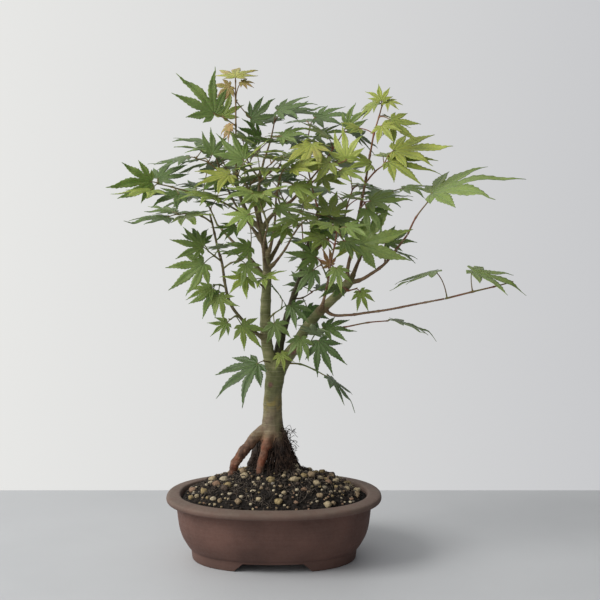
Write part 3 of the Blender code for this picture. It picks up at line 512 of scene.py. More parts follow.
LIMBS = [
    LEADER,
    RIGHT_LIMB,
    REAR_LIMB,
    [(-5, 3, 222, 3.4), (-19, -4, 232, 1.9), (-33, -9, 247, 1.8), (-43, -13, 262, 1.7), (-48, -16, 282, 1.6),
     (-51, -16, 303, 1.5), (-55, -15, 317, 1.4), (-59, -13, 335, 1.3), (-63, -12, 352, 1.2)],
    [(76, -8, 283, 3.4), (86, -10, 285, 2), (98, -12, 292, 1.8), (111, -14, 302, 1.6), (122, -16, 316, 1.4),
     (133, -18, 331, 1.2)],
    [(75, -8, 281, 3), (74, -8, 292, 2.1), (76, -8, 305, 1.9), (79, -7, 316, 1.8), (82, -5, 334, 1.7),
     (87, -4, 358, 1.6), (92, -3, 384, 1.4), (97, -1, 414, 1.3)],
    [(51, -3, 257, 3), (57, -8, 251, 1.7), (74, -10, 250, 1.5), (94, -14, 253, 1.4), (113, -17, 256, 1.3),
     (141, -21, 262, 1.2), (170, -25, 268, 1.1)],
    [(-12, 4, 334, 3), (-22, 3, 345, 2.4), (-31, 1, 362, 2.1), (-36, -1, 380, 1.9), (-37, -2, 394, 1.7)],
    [(-12, 4, 334, 2.8), (-2, 2, 349, 2.1), (10, 0, 358, 1.9), (20, -2, 366, 1.7), (31, -4, 380, 1.5)],
    [(-12, 4, 332, 2.8), (-15, 8, 358, 1.9), (-14, 12, 384, 1.6), (-9, 12, 408, 1.3)],
    [(-11, 5, 330, 2.8), (-15, 20, 349, 1.9), (-21, 38, 364, 1.6), (-26, 56, 380, 1.3)],
    [(-7, 3, 300, 3), (4, 22, 318, 1.9), (12, 44, 336, 1.6), (16, 64, 350, 1.3)],
    [(-7, 3, 284, 3), (-26, 24, 306, 1.9), (-44, 42, 322, 1.6), (-60, 56, 338, 1.3)],
    [(31, 33, 302, 2.6), (52, 48, 320, 1.7), (72, 58, 338, 1.3)],
    [(20, 26, 264, 2.8), (26, 48, 280, 1.7), (30, 72, 296, 1.3)],
    [(77, -8, 283, 3), (86, 14, 302, 1.8), (96, 36, 320, 1.5), (104, 54, 336, 1.2)],
    [(-6, 1, 290, 3), (-9, -18, 308, 1.6), (-8, -38, 326, 1.3), (-4, -54, 342, 1.1)],
    [(46, -2, 252, 3), (50, -22, 266, 1.7), (54, -34, 286, 1.4), (57, -40, 308, 1.2)],
    [(-8, 3, 310, 2.6), (-13, -5, 330, 1.5), (-17, -10, 352, 1.3), (-22, -13, 375, 1.1)],
    [(-7, 3, 306, 2.6), (-1, -7, 326, 1.5), (2, -13, 348, 1.3), (3, -17, 370, 1.1)],
    [(-9, 3, 318, 2.4), (-24, 8, 340, 1.5), (-40, 14, 362, 1.3), (-51, 17, 386, 1.1)],
    [(-6, 3, 294, 2.6), (6, -8, 308, 1.5), (14, -16, 320, 1.3), (20, -22, 332, 1.1)],
]

# %% [markdown]
# ## One skin over all the wood
# A tree has no seams where a limb leaves the trunk. So each route becomes a smooth tapered curve, all
# the curves are joined, and a voxel remesh casts one skin over them. A little smoothing turns the
# creases at the forks into the soft collars that real branches have.

# %% Skin of the wood
WOOD_VOXEL = 0.00075
SOFTENING = 7


def add_tube(curve, points, radii, smooth=True):
    """Adds a tapering rod to a curve object's data. Points are in metres."""
    spline = curve.splines.new("BEZIER" if smooth else "POLY")
    knots = spline.bezier_points if smooth else spline.points
    knots.add(len(points) - 1)
    for knot, point, radius in zip(knots, points, radii):
        knot.co = point if smooth else (*point, 1)
        knot.radius = radius / MM
        if smooth:
            knot.handle_left_type = "AUTO"
            knot.handle_right_type = "AUTO"


def new_curve(name, side_pairs, steps=5):
    """Curve data whose rods have a radius of one millimetre times each point's own radius."""
    curve = bpy.data.curves.new(name, "CURVE")
    curve.dimensions = "3D"
    curve.bevel_depth = MM
    curve.bevel_resolution = side_pairs
    curve.use_fill_caps = True
    curve.resolution_u = steps
    return curve


def wood_skin():
    curve = new_curve("wood", 5, 6)
    for route in [TRUNK, *ROOTS, *LIMBS]:
        add_tube(curve, [Vector(stop[:3]) * MM for stop in route], [stop[3] * MM for stop in route])
    rods = loose_object("wood", clean_mesh(applied(loose_object("wood", curve))))
    modify(rods, "REMESH", mode="VOXEL", voxel_size=WOOD_VOXEL)
    modify(rods, "SMOOTH", factor=0.5, iterations=SOFTENING)
    return applied(rods)


skin = wood_skin()
print("wood skin:", len(skin.vertices), "points")

# %% [markdown]
# ## Bark relief
# Smooth tubes look like plastic. Young maple bark has three kinds of relief: low rings and swollen
# nodes where leaves used to grow, slow dents along the trunk, and knobbly ridges on the roots. Where
# limbs were pruned, a lip of new bark closes over a sunken scar. Each skin point finds the nearest
# route, which tells it the wood's girth and the distance along it, and then moves in or out.

# %% Samples along the routes
def route_samples():
    """Points along the routes, as (place, radius, distance along, whether a thin limb, darkness)."""
    samples = []
    clean_unshaded_roots = ROOTS[:2]
    for kind, routes in ((0, [TRUNK]), (1, ROOTS), (2, LIMBS)):
        for route in routes:
            # dark is painted shade on the rear limb, which lies under the leaves; on the roots it is partly
            # painted shade and partly their own darker colour.
            dark = 0.75 if route is REAR_LIMB else 0.0
            if kind == 1 and route not in clean_unshaded_roots:
                dark = 1.0
            line = smooth_line(route, 12)
            along = 0
            for here in range(1, len(line)):
                along += np.linalg.norm(line[here][:3] - line[here - 1][:3]) * MM
                samples.append((Vector(line[here][:3]) * MM, line[here][3] * MM, along, kind, dark))
    return samples


print(len(route_samples()), "samples along the routes")

# %% [markdown]
# ## Moving the skin
# Every skin point moves along its normal by the sum of rings, nodes, dents, knobs and scars. On the way
# the skin is painted with attributes for the finish: girth, how root-like it is, scars, and dark places,
# which are painted shade and, on the roots, partly their own darker colour.

# %% Relief of the skin
SCARS = [((6, -3, 222), 3.6), ((19, -2, 213), 3.4), ((10, -4, 203), 3.2), ((-4, -4, 178), 2.6),
         ((70, -13, 276), 2.4)]
NODE_GAP = 0.024
NODE_REACH = 0.0016
ROOT_TOP = 0.136
ROOT_FADE = 0.022


def relieve_bark(mesh):
    samples = route_samples()
    finder = KDTree(len(samples))
    for index, sample in enumerate(samples):
        finder.insert(sample[0], index)
    finder.balance()
    painted = {"girth": [], "rooty": [], "scar": [], "dark": []}
    moved = []
    for vertex in mesh.vertices:
        place = vertex.co
        _, index, _ = finder.find(place)
        _, radius, along, kind, dark = samples[index]
        rooty = min(max((ROOT_TOP - place.z) / ROOT_FADE, 0), 1)
        ring_wobble = noise.noise(place * 190) * 0.004
        rings = noise.noise(Vector((0, 0, (along + ring_wobble) * 520))) * 0.16
        beat = ((along + radius) / NODE_GAP) % 1
        swelling = math.exp(-(((beat - 0.5) * NODE_GAP) / NODE_REACH) ** 2) * (0.45 if kind == 2 else 0.2)
        dents = noise.noise(place * 90) * min(radius * 60, 0.55)
        knobs = (noise.noise(place * 150) * 1.1 + abs(noise.noise(place * 330)) * 0.8) * rooty
        push = rings * (1 - rooty) + swelling * (1 - rooty) + dents + knobs
        scar = 0
        for centre, size in SCARS:
            distance = (place - Vector(centre) * MM).length / MM
            if distance < size * 2:
                hollow = 0.6 * math.exp(-((distance / size * 1.6) ** 2))
                push += 0.7 * math.exp(-(((distance - size) / 0.9) ** 2)) - hollow
                scar = max(scar, 1 - max(distance - size * 0.8, 0) / (size * 0.8))
        moved.append(place + vertex.normal * push * min(1, radius / 0.0022) * MM)
        fade = rooty if place.z < 0.16 else min(max((place.z - 0.196) / 0.020, 0), 1)
        for name, value in zip(painted, (min(radius / 0.010, 1), rooty, max(scar, 0), dark * fade)):
            painted[name].append(value)
    for vertex, place in zip(mesh.vertices, moved):
        vertex.co = place
    for name, values in painted.items():
        mesh.attributes.new(name, "FLOAT", "POINT").data.foreach_set("value", values)


relieve_bark(skin)
print("relief done, with", len(SCARS), "pruning scars")

# %% [markdown]
# ## Bark finish
# The colour of the wood follows its age. The bare roots are reddish brown, the trunk's foot is a dry
# grey tan, the trunk above is olive with fine pale rings, and thin limbs turn olive brown and then red.
# The skin carries four attributes, and the graph blends by those: its girth, how root-like it is, where
# it is scarred, and where it is painted dark: painted shade on the rear limb under the leaves, and on
# the roots partly painted shade and partly their own darker colour.

# %% Bark finish
def bark_finish():
    finish, tree, shader = new_finish("maple_bark", 0.72, 0.3)
    girth = attribute(tree, "girth")
    rooty = attribute(tree, "rooty")
    scar = attribute(tree, "scar")
    cloud = grain(tree, 75, 4)
    olive = ramp(tree, cloud, [(0.32, (0.108, 0.118, 0.046)), (0.52, (0.190, 0.198, 0.082)),
                               (0.70, (0.300, 0.285, 0.140))])
    red_wood = clouds(tree, 140, 3, (0.165, 0.072, 0.046), (0.225, 0.140, 0.080))
    green_wood = clouds(tree, 140, 3, (0.088, 0.078, 0.038), (0.170, 0.160, 0.075))
    thin = blend(tree, sunny_side(tree), green_wood, red_wood)
    by_girth = blend(tree, spread(tree, girth, 0.16, 0.36), thin, olive)
    tan = clouds(tree, 120, 4, (0.110, 0.078, 0.054), (0.215, 0.160, 0.108), high=0.68)
    low_part = spread(tree, height_above_table(tree), 0.178, 0.140)
    patchy = times(tree, low_part, spread(tree, grain(tree, 55, 3), 0.3, 0.6, 0.45, 1))
    trunk_tone = blend(tree, patchy, by_girth, tan)
    lines = spread(tree, grain(tree, 130, 3, (0.22, 0.22, 6)), 0.54, 0.66)
    ringed = blend(tree, times(tree, lines, 0.5), trunk_tone, (0.380, 0.345, 0.215))
    dark_lines = spread(tree, grain(tree, 90, 3, (0.3, 0.3, 9)), 0.60, 0.70)
    ringed = blend(tree, times(tree, dark_lines, 0.5), ringed, (0.060, 0.052, 0.030))
    yellow_band = times(tree, spread(tree, height_above_table(tree), 0.1675, 0.1600),
                        spread(tree, height_above_table(tree), 0.1490, 0.1550))
    yellow_spots = times(tree, yellow_band, spread(tree, grain(tree, 200, 4), 0.42, 0.60, 0, 0.7))
    ringed = blend(tree, yellow_spots, ringed, (0.300, 0.235, 0.070))
    roots = ramp(tree, grain(tree, 210, 4), [(0.30, (0.045, 0.022, 0.015)), (0.52, (0.120, 0.060, 0.036)),
                                            (0.72, (0.215, 0.125, 0.080))])
    ember = spread(tree, grain(tree, 48, 3), 0.50, 0.66)
    roots = blend(tree, times(tree, ember, 0.6), roots, (0.235, 0.060, 0.026))
    rooted = blend(tree, rooty, ringed, roots)
    scar_tone = clouds(tree, 240, 3, (0.150, 0.075, 0.058), (0.300, 0.175, 0.135))
    scarred = blend(tree, scar, rooted, scar_tone)
    # The dark attribute paints the bark near black: painted shade on the rear limb, and on the roots partly
    # painted shade, partly their own darker colour.
    dark = attribute(tree, "dark")
    painted_shade_and_root_tone = clouds(tree, 300, 4, (0.010, 0.007, 0.006), (0.050, 0.030, 0.020), high=0.70)
    rough = spread(tree, grain(tree, 200, 3), 0.3, 0.7, 0.55, 0.85)
    paint(tree, shader, blend(tree, dark, scarred, painted_shade_and_root_tone), rough)
    fine = bump(tree, shader, grain(tree, 900, 4), 0.00022)
    bump(tree, shader, grain(tree, 220, 3, (0.35, 0.35, 5)), 0.0004, fine)
    return finish


bark = bark_finish()
add_piece("wood", skin, [bark], ["tree"])
print("wood:", len(skin.polygons), "faces")

# %% [markdown]
# ## Grains in the soil
# Bonsai soil is full of hard grains: tan and cream pumice, rusty clay and a few dark lava chips, 3 to
# 10 mm across, with small crumbs of compost between them. A grain is an icosphere pushed out of round by
# noise. Grains land at seeded random places, keep clear of each other and of the roots, and sink a
# little into the ground. They are joined in a few groups, because hundreds of objects would be slow.

# %% Scattering grains
ROOT_STOPS = [stop * MM for route in ROOTS for stop in smooth_line(route, 6)]
SOIL_SHARE = 0.975


def near_root(x, y, room):
    height = ground(x, y)
    return any(abs(z - height) < 0.005 and math.hypot(across - x, deep - y) < radius + room
               for across, deep, z, radius in ROOT_STOPS)


def scatter(random_source, count, small, large, evenness, keep_off_roots=True):
    """Seeded places on the mound that don't crowd each other, as (x, y, radius).
    An evenness of 1 spreads them all over; a lower one gathers them in drifts near the edge."""
    placed = []
    for _ in range(count * 30):
        if len(placed) == count:
            break
        share = random_source.random() ** 0.5
        turn = random_source.random() * math.tau
        x = EDGE_X * SOIL_SHARE * share * math.cos(turn)
        y = EDGE_Y * SOIL_SHARE * share * math.sin(turn)
        radius = small + (large - small) * random_source.random() ** 2.2
        if oval_share(x, y) > SOIL_SHARE - radius / EDGE_Y:
            continue
        drift = 0.5 + noise.noise(Vector((x, y, 0.31)) * 38) * 1.1
        if random_source.random() > evenness + (1 - evenness) * oval_share(x, y) ** 1.3 * max(drift, 0):
            continue
        if keep_off_roots and near_root(x, y, radius):
            continue
        if all(math.hypot(x - a, y - b) > (radius + c) * 0.93 for a, b, c in placed):
            placed.append((x, y, radius))
    return placed


print("grains keep clear of", len(ROOT_STOPS), "points along the roots")

# %% [markdown]
# ## Shape of a grain
# One icosphere serves for all grains. Each copy is squeezed, knocked out of round by noise at two sizes,
# turned, and sunk into the ground by part of its height.

# %% Grain shapes
def grain_shape(detail):
    work = bmesh.new()
    bmesh.ops.create_icosphere(work, subdivisions=detail, radius=1)
    points = np.array([vertex.co for vertex in work.verts])
    faces = [[vertex.index for vertex in face.verts] for face in work.faces]
    work.free()
    return points, faces


def rough_grain(shape, random_source, radius, place, sink):
    """One grain's points: an icosphere squeezed, knocked out of round, turned and set in the ground."""
    seed = random_source.random() * 90
    squeeze = np.array([1, random_source.uniform(0.72, 0.98), random_source.uniform(0.55, 0.85)])
    turn = Matrix.Rotation(random_source.random() * math.tau, 3, "Z")
    turn = turn @ Matrix.Rotation(random_source.uniform(-0.5, 0.5), 3, "X")
    points = []
    for x, y, z in shape:
        knock = 1 + 0.30 * noise.noise(Vector((x, y, z)) * 1.25 + Vector((seed, 0, 0)))
        knock += 0.10 * noise.noise(Vector((x, y, z)) * 3.4 + Vector((0, seed, 0)))
        points.append(turn @ Vector((x, y, z) * squeeze * knock * radius))
    lift = Vector((place[0], place[1], ground(*place) + radius * squeeze[2] * sink))
    return [point + lift for point in points]


def grain_group(name, places, detail, sink, seed, tones):
    """Many grains as one mesh, each with its own tone attribute between the two given."""
    source = random.Random(seed)
    shape, faces = grain_shape(detail)
    points, all_faces, tone = [], [], []
    for x, y, radius in places:
        start = len(points)
        points += rough_grain(shape, source, radius, (x, y), sink)
        all_faces += [[start + corner for corner in face] for face in faces]
        tone += [source.uniform(*tones)] * len(shape)
    mesh = bpy.data.meshes.new(name)
    mesh.from_pydata(points, [], all_faces)
    mesh.attributes.new("tone", "FLOAT", "POINT").data.foreach_set("value", tone)
    return mesh


# %% [markdown]
# ## Finish of the grains
# Each grain carries one random number, its tone. A stepped ramp turns that into a kind of stone, so
# that neighbours differ as they do in a real mix. Fine noise pits the surface like pumice.

# %% Grain finishes
GRAIN_TONES = [(0.0, (0.200, 0.145, 0.090)), (0.12, (0.320, 0.240, 0.150)), (0.28, (0.430, 0.350, 0.220)),
               (0.42, (0.340, 0.260, 0.130)), (0.54, (0.520, 0.445, 0.310)), (0.70, (0.300, 0.190, 0.125)),
               (0.80, (0.095, 0.070, 0.055)), (0.90, (0.230, 0.205, 0.170))]
CRUMB_TONES = [(0.0, (0.008, 0.007, 0.006)), (0.4, (0.016, 0.013, 0.011)), (0.72, (0.040, 0.032, 0.026)),
               (0.90, (0.085, 0.066, 0.050))]
GRAIN_COUNT = 330
CRUMB_COUNT = 1500


def grain_finish(name, stops, depth):
    finish, tree, shader = new_finish(name, 0.88, 0.22)
    tone = attribute(tree, "tone")
    base = ramp(tree, tone, stops)
    base.node.color_ramp.interpolation = "CONSTANT"
    dust = spread(tree, grain(tree, 520, 4), 0.32, 0.66)
    darkened = blend(tree, dust, blend(tree, 0.55, base, (0.03, 0.02, 0.012)), base)
    paint(tree, shader, darkened)
    fine = bump(tree, shader, grain(tree, 2600, 3), depth * 0.5)
    bump(tree, shader, grain(tree, 900, 3), depth, fine)
    return finish


stone = grain_finish("pumice", GRAIN_TONES, 0.0003)
compost = grain_finish("compost_crumbs", CRUMB_TONES, 0.0005)
source = random.Random(11)
grain_places = scatter(source, GRAIN_COUNT, 0.0013, 0.0050, 0.16)
for side, low, high in (("left", -1, -0.03), ("middle", -0.03, 0.03), ("right", 0.03, 1)):
    chosen = [place for place in grain_places if low <= place[0] < high]
    add_piece(f"pumice_{side}", grain_group("pumice", chosen, 3, 0.28, 21, (0, 1)), [stone])
    print("pumice,", side, len(chosen), "grains")
crumb_places = scatter(source, CRUMB_COUNT, 0.0007, 0.0026, 0.9, False)
add_piece("compost_crumbs", grain_group("crumbs", crumb_places, 2, 0.15, 23, (0, 1)), [compost])
print("crumbs:", len(crumb_places))

# %% [markdown]
# ## Hair roots
# At the trunk's foot, fine dark feeder roots hang in a tangle where the soil was washed away: most in
# front and on the right, some on the left, and a few all round. They are thin curves that wander by
# seeded noise.

# %% Hair roots
HAIR_COUNT = 330
HAIRS_RIGHT = 180
HAIRS_ROUND = 30
HAIR_CURLS = 34
HAIR_MIDDLE = (0.002, 0.007)
HAIR_TOP = 0.134


def wander(source, start, end, sway, steps=14):
    """A wavering line from start to end."""
    seed = Vector((source.random() * 50, source.random() * 50, source.random() * 50))
    line = []
    for step in range(steps + 1):
        t = step / steps
        swing = noise.noise_vector(seed + Vector((t * 3.2, 0, 0))) * sway
        line.append(start.lerp(end, t) + swing * math.sin(math.pi * min(t * 1.15, 1)) ** 0.7)
    return line


def random_vector(source, *ranges):
    return Vector([source.uniform(low, high) for low, high in ranges])


def hair_roots():
    source = random.Random(5)
    curve = new_curve("hair_roots", 2, 3)
    for index in range(HAIR_COUNT):
        turn = source.uniform(-1.75, 0.7) if index < HAIRS_RIGHT else source.uniform(0, math.tau)
        if index >= HAIRS_RIGHT + HAIRS_ROUND:
            turn = source.uniform(-3.3, -1.7)
        out = Vector((math.cos(turn), math.sin(turn), 0))
        start = Vector((*HAIR_MIDDLE, source.uniform(0.098, HAIR_TOP)))
        start += out * (0.007 + (HAIR_TOP - start.z) * 0.24)
        reach = source.uniform(0.012, 0.029)
        foot = Vector((*HAIR_MIDDLE, 0)) + out * reach
        foot.z = ground(foot.x, foot.y) - 0.001
        line = wander(source, start, foot, source.uniform(0.004, 0.012))
        thick = source.uniform(0.00020, 0.00058)
        add_tube(curve, line, [thick * (1 - 0.5 * step / len(line)) for step in range(len(line))], False)
    for _ in range(HAIR_CURLS):
        start = random_vector(source, (0.007, 0.014), (-0.006, 0.010), (0.104, HAIR_TOP))
        end = start + random_vector(source, (0.003, 0.012), (-0.006, 0.004), (-0.016, 0.002))
        add_tube(curve, wander(source, start, end, 0.009, 12), [0.00022] * 13, False)
    return clean_mesh(applied(loose_object("hair_roots", curve)))


root_hair, bark_fibre = [
    mottled(name, (0.8, 0.25), (260, 3), (0.35, dark), (0.65, light), (1800, 2, 0.0001))
    for name, dark, light in (("root_hair", (0.010, 0.007, 0.006), (0.050, 0.028, 0.018)),
                              ("bark_fibre", (0.020, 0.016, 0.014), (0.120, 0.096, 0.076)))]
add_piece("hair_roots", hair_roots(), [root_hair])
print("hair roots:", HAIR_COUNT + HAIR_CURLS)

# %% [markdown]
# ## Fibres on the ground
# Bits of bark fibre lie all over the mound. Each is a thin curve too, arched a little off the ground.

# %% Fibres
FIBRE_COUNT = 420
FIBRE_STEPS = 9


def fibres():
    source = random.Random(8)
    curve = new_curve("fibres", 1, 2)
    for _ in range(FIBRE_COUNT):
        share = source.random() ** 0.5 * 0.9
        turn = source.random() * math.tau
        x, y = EDGE_X * share * math.cos(turn), EDGE_Y * share * math.sin(turn)
        heading = source.random() * math.tau
        length = source.uniform(0.006, 0.022)
        end = Vector((x + length * math.cos(heading), y + length * math.sin(heading), 0))
        if oval_share(end.x, end.y) > 0.93:
            continue
        line = wander(source, Vector((x, y, 0)), end, 0.006, FIBRE_STEPS)
        for step, place in enumerate(line):
            arch = 0.003 * math.sin(math.pi * step / FIBRE_STEPS) * source.random()
            place.z = ground(place.x, place.y) + 0.0006 + arch
        add_tube(curve, line, [source.uniform(0.00016, 0.0004)] * len(line), False)
    return clean_mesh(applied(loose_object("fibres", curve)))


add_piece("soil_fibres", fibres(), [bark_fibre])
print("fibres made")

# %% [markdown]
# ## Plan of the leafy shoots
# A maple puts out its leaves in opposite pairs on green or red shoots, and each leaf turns its blade to
# the light. The plan is the CAD's own, in millimetres. A shoot has stem points, leaves given as (stem
# point, start of the blade, tip of its middle lobe, the way its face looks, age), and pairs given as
# (stem point, size, turn round the stem, two ages). An age of 0 is an old dark leaf, 1 a new red one.

# %% Shoots
SHOOT_RADIUS = 0.0010
STALK_RADIUS = 0.0007
STALK_SHARE = 0.62
CLEARANCE = 0.0004
BLADE_THICKNESS = 0.0008
DROOP = 0.08
CAD_LOBES = [(-76, 0.52), (-54, 0.30), (-35, 0.84), (-17, 0.33), (0, 1), (17, 0.33), (35, 0.84), (54, 0.30),
             (76, 0.52)]
LEVEL = (0, 0.04, 1)
UP = (0, -0.2, 1)
SLANT = (0, -0.38, 0.92)
TILT = (0, -0.6, 0.8)
FRONT = (0, -1, 0.35)
LEFT = (-0.6, -0.6, 0.5)
EDGE = (0.65, -0.12, 0.75)
SHOOTS = {}


def shoot(name, stem, leaves=(), pairs=()):
    SHOOTS[name] = {"stem": stem, "leaves": leaves, "pairs": pairs}


shoot("top_left", [(-37, -2, 393), (-37, -4, 414), (-37, -5, 438), (-37, -5, 463), (-37, -6, 482)], [
    (2, (-57, -20, 449), (-86, -28, 492), FRONT, 0.46), (4, (-37, -9, 485), (-38, 29, 503), TILT, 0.80),
    (3, (-31, -9, 481), (-17, -12, 476), TILT, 0.94), (3, (-42, -6, 477), (-60, -6, 466), FRONT, 0.90),
    (2, (-51, 6, 448), (-38, 12, 475), FRONT, 0.62), (3, (-23, 4, 446), (0, 6, 470), FRONT, 0.24),
    (2, (-44, -12, 443), (-57, -18, 431), LEFT, 0.93), (1, (-42, 5, 436), (-52, 10, 424), LEFT, 0.91),
])
shoot("top_crest", [(-9, 12, 406), (-3, 12, 425), (1, 10, 443)], [
    (2, (4, 4, 454), (40, -6, 461), TILT, 0.26), (2, (12, 18, 453), (58, 26, 460), SLANT, 0.18),
    (1, (-14, 6, 427), (-34, -16, 438), FRONT, 0.30), (1, (14, 16, 424), (46, 22, 430), SLANT, 0.22),
    (1, (-18, 20, 412), (-44, 38, 416), UP, 0.25), (2, (2, 20, 444), (-22, 42, 450), SLANT, 0.20),
    (1, (8, -2, 428), (42, -16, 431), TILT, 0.34), (1, (-2, -6, 422), (-6, -36, 427), TILT, 0.28),
])
shoot("top_back", [(46, 43, 352), (38, 50, 382), (33, 52, 414), (37, 54, 440)], [
    (3, (42, 50, 449), (84, 40, 455), TILT, 0.20), (3, (34, 60, 446), (20, 96, 452), UP, 0.15),
    (2, (50, 60, 418), (84, 76, 412), TILT, 0.28), (1, (22, 46, 392), (-12, 52, 396), TILT, 0.22),
    (2, (24, 46, 426), (-8, 36, 431), TILT, 0.40), (2, (44, 42, 430), (72, 22, 434), TILT, 0.34),
])
shoot("top_right", [(31, -4, 378), (46, 6, 396), (60, 18, 416), (70, 26, 432)], [
    (3, (74, 22, 438), (92, 8, 458), FRONT, 0.45), (3, (80, 34, 434), (108, 52, 420), TILT, 0.25),
    (2, (48, 6, 420), (18, -8, 424), UP, 0.62), (1, (40, 22, 402), (22, 48, 398), TILT, 0.30),
    (2, (54, 6, 428), (30, -16, 437), TILT, 0.58),
])
shoot("left_high", [(-36, -1, 378), (-49, -8, 389), (-64, -12, 402), (-76, -14, 406)], [
    (2, (-60, -14, 410), (-58, -18, 438), FRONT, 0.30), (3, (-69, -22, 414), (-94, -40, 418), UP, 0.42),
    (3, (-84, -16, 407), (-127, -22, 398), UP, 0.22), (1, (-54, -20, 384), (-72, -48, 374), TILT, 0.35),
    (2, (-70, 2, 406), (-96, 22, 404), UP, 0.16),
])
shoot("left_tip", [(-22, 3, 345), (-51, -8, 363), (-76, -14, 371), (-100, -18, 378), (-113, -20, 381)], [
    (4, (-119, -22, 383), (-150, -30, 413), FRONT, 0.42), (4, (-118, -36, 375), (-160, -52, 374), UP, 0.66),
    (4, (-114, -14, 386), (-76, -8, 393), TILT, 0.20), (3, (-92, -24, 371), (-118, -48, 368), TILT, 0.30),
    (2, (-77, -8, 378), (-88, 20, 386), UP, 0.24), (1, (-56, -20, 362), (-66, -54, 362), TILT, 0.38),
])
shoot("left_middle", [(-60, -13, 342), (-70, -18, 349), (-82, -20, 352), (-93, -22, 351)], [
    (3, (-104, -24, 348), (-142, -44, 345), UP, 0.28), (3, (-99, -14, 353), (-130, 4, 352), UP, 0.34),
    (2, (-86, -28, 350), (-70, -60, 344), TILT, 0.50), (1, (-78, -4, 352), (-92, 30, 354), UP, 0.22),
])
shoot("left_low", [(-51, -16, 304), (-58, -20, 310), (-64, -23, 315)], [
    (2, (-69, -27, 319), (-99, -38, 327), FRONT, 0.44), (2, (-69, -19, 322), (-86, 4, 340), TILT, 0.36),
    (1, (-68, -28, 303), (-101, -40, 280), FRONT, 0.52), (1, (-52, -32, 318), (-48, -62, 328), TILT, 0.40),
])
shoot("left_drop", [(-47, -15, 278), (-53, -16, 281), (-58, -17, 281)], [
    (2, (-61, -19, 278), (-88, -32, 270), TILT, 0.46), (2, (-60, -17, 275), (-74, -22, 248), FRONT, 0.40),
    (1, (-54, -24, 271), (-44, -40, 248), FRONT, 0.50),
])
shoot("left_narrow", [(-33, -9, 247), (-38, -11, 249), (-43, -13, 246)], [
    (2, (-46, -14, 243), (-66, -20, 230), FRONT, 0.48), (1, (-32, -15, 241), (-24, -20, 211), FRONT, 0.52),
])
shoot("left_inner", [(-50, -16, 297), (-42, -22, 303), (-33, -27, 306)], [
    (2, (-27, -31, 303), (-15, -40, 277), FRONT, 0.46), (2, (-34, -36, 312), (-44, -66, 318), TILT, 0.36),
])
shoot("low_left", [(-1, 2, 200), (-9, -8, 203)], [(1, (-16, -11, 201), (-59, -26, 171), TILT, 0.14)])
shoot("fork_front", [(5, 3, 205), (6, -7, 209)], [(1, (7, -9, 211), (14, -16, 194), FRONT, 0.66)])
shoot("fork_right", [(15, 4, 208), (25, -6, 217), (37, -12, 222)], [
    (2, (45, -16, 225), (62, -22, 186), FRONT, 0.16), (2, (41, -16, 231), (38, -42, 250), TILT, 0.26),
    (1, (27, -16, 228), (25, -28, 202), FRONT, 0.34), (2, (50, -10, 237), (84, -20, 230), TILT, 0.24),
])
shoot("low_right", [(9, 5, 199), (27, -2, 199), (41, -6, 194), (53, -10, 188)], [
    (3, (56, -11, 186), (90, -17, 157), EDGE, 0.20),
])
shoot("centre_front", [(-7, 2, 242), (0, -9, 251), (8, -16, 257)], [
    (2, (18, -22, 261), (38, -32, 243), FRONT, 0.26), (2, (9, -26, 267), (0, -46, 286), TILT, 0.22),
    (1, (1, -20, 243), (10, -28, 218), FRONT, 0.44),
])
shoot("centre_back", [(20, 26, 263), (29, 35, 263), (39, 42, 268)], [
    (2, (46, 47, 271), (76, 64, 276), UP, 0.10), (1, (34, 42, 252), (48, 46, 224), FRONT, 0.16),
    (2, (30, 46, 274), (12, 56, 296), FRONT, 0.22),
])
shoot("narrow_right", [(33, 2, 235), (53, -2, 234), (71, -4, 237), (95, -6, 242), (115, -8, 244)], [
    (4, (121, -9, 245), (170, -14, 230), LEVEL, 0.42),
])
shoot("right_drop", [(67, -7, 273), (75, -14, 275), (82, -16, 277)], [
    (2, (86, -18, 275), (96, -24, 254), FRONT, 0.60), (1, (66, -22, 279), (42, -36, 278), TILT, 0.40),
])
shoot("young", [(74, -8, 290), (67, -12, 293), (60, -14, 298)], [
    (2, (57, -15, 301), (47, -20, 316), FRONT, 0.97),
])
shoot("far_twig", [(170, -25, 268), (197, -26, 275), (218, -26, 280), (237, -26, 285)], [
    (1, (196, -28, 296), (250, -36, 279), UP, 0.46), (0, (160, -24, 295), (110, -30, 281), LEVEL, 0.42),
])
shoot("right_tip", [(133, -18, 331), (141, -19, 348), (153, -20, 364)], [
    (2, (156, -21, 372), (235, -34, 401), SLANT, 0.42),
])
shoot("right_branch", [(111, -14, 301), (112, -6, 312)], [
    (1, (112, -2, 322), (142, 14, 336), TILT, 0.34), (1, (118, 6, 314), (146, 30, 306), UP, 0.26),
])
shoot("red_low", [(78, -7, 313), (83, -15, 318)], [
    (1, (86, -22, 322), (141, -36, 337), FRONT, 0.50), (1, (76, -24, 320), (56, -44, 312), TILT, 0.66),
])
shoot("red_middle", [(87, -4, 357), (91, -11, 362)], [
    (1, (96, -16, 364), (132, -30, 366), TILT, 0.46), (1, (92, -16, 357), (112, -28, 334), FRONT, 0.36),
    (1, (82, -22, 366), (70, -48, 372), UP, 0.60),
])
shoot("red_upper", [(92, -3, 382), (101, -8, 393), (110, -12, 400)], [
    (2, (114, -14, 403), (166, -30, 392), TILT, 0.72), (2, (120, -4, 414), (172, 4, 399), TILT, 0.74),
    (2, (110, 4, 408), (128, 34, 416), UP, 0.60), (1, (96, -18, 400), (64, -34, 412), TILT, 0.66),
])
shoot("red_tip", [(97, -1, 413), (100, -2, 430), (105, -1, 447), (108, -1, 458)], [
    (3, (107, -4, 463), (104, 12, 481), TILT, 0.78), (3, (113, -1, 463), (130, -8, 458), TILT, 0.74),
    (3, (104, 4, 462), (82, 18, 452), TILT, 0.70), (2, (116, -8, 444), (140, -20, 422), FRONT, 0.76),
    (2, (114, 6, 448), (136, 22, 440), SLANT, 0.62), (1, (86, 2, 436), (66, -14, 438), TILT, 0.72),
    (1, (108, -12, 434), (118, -34, 420), FRONT, 0.72),
])
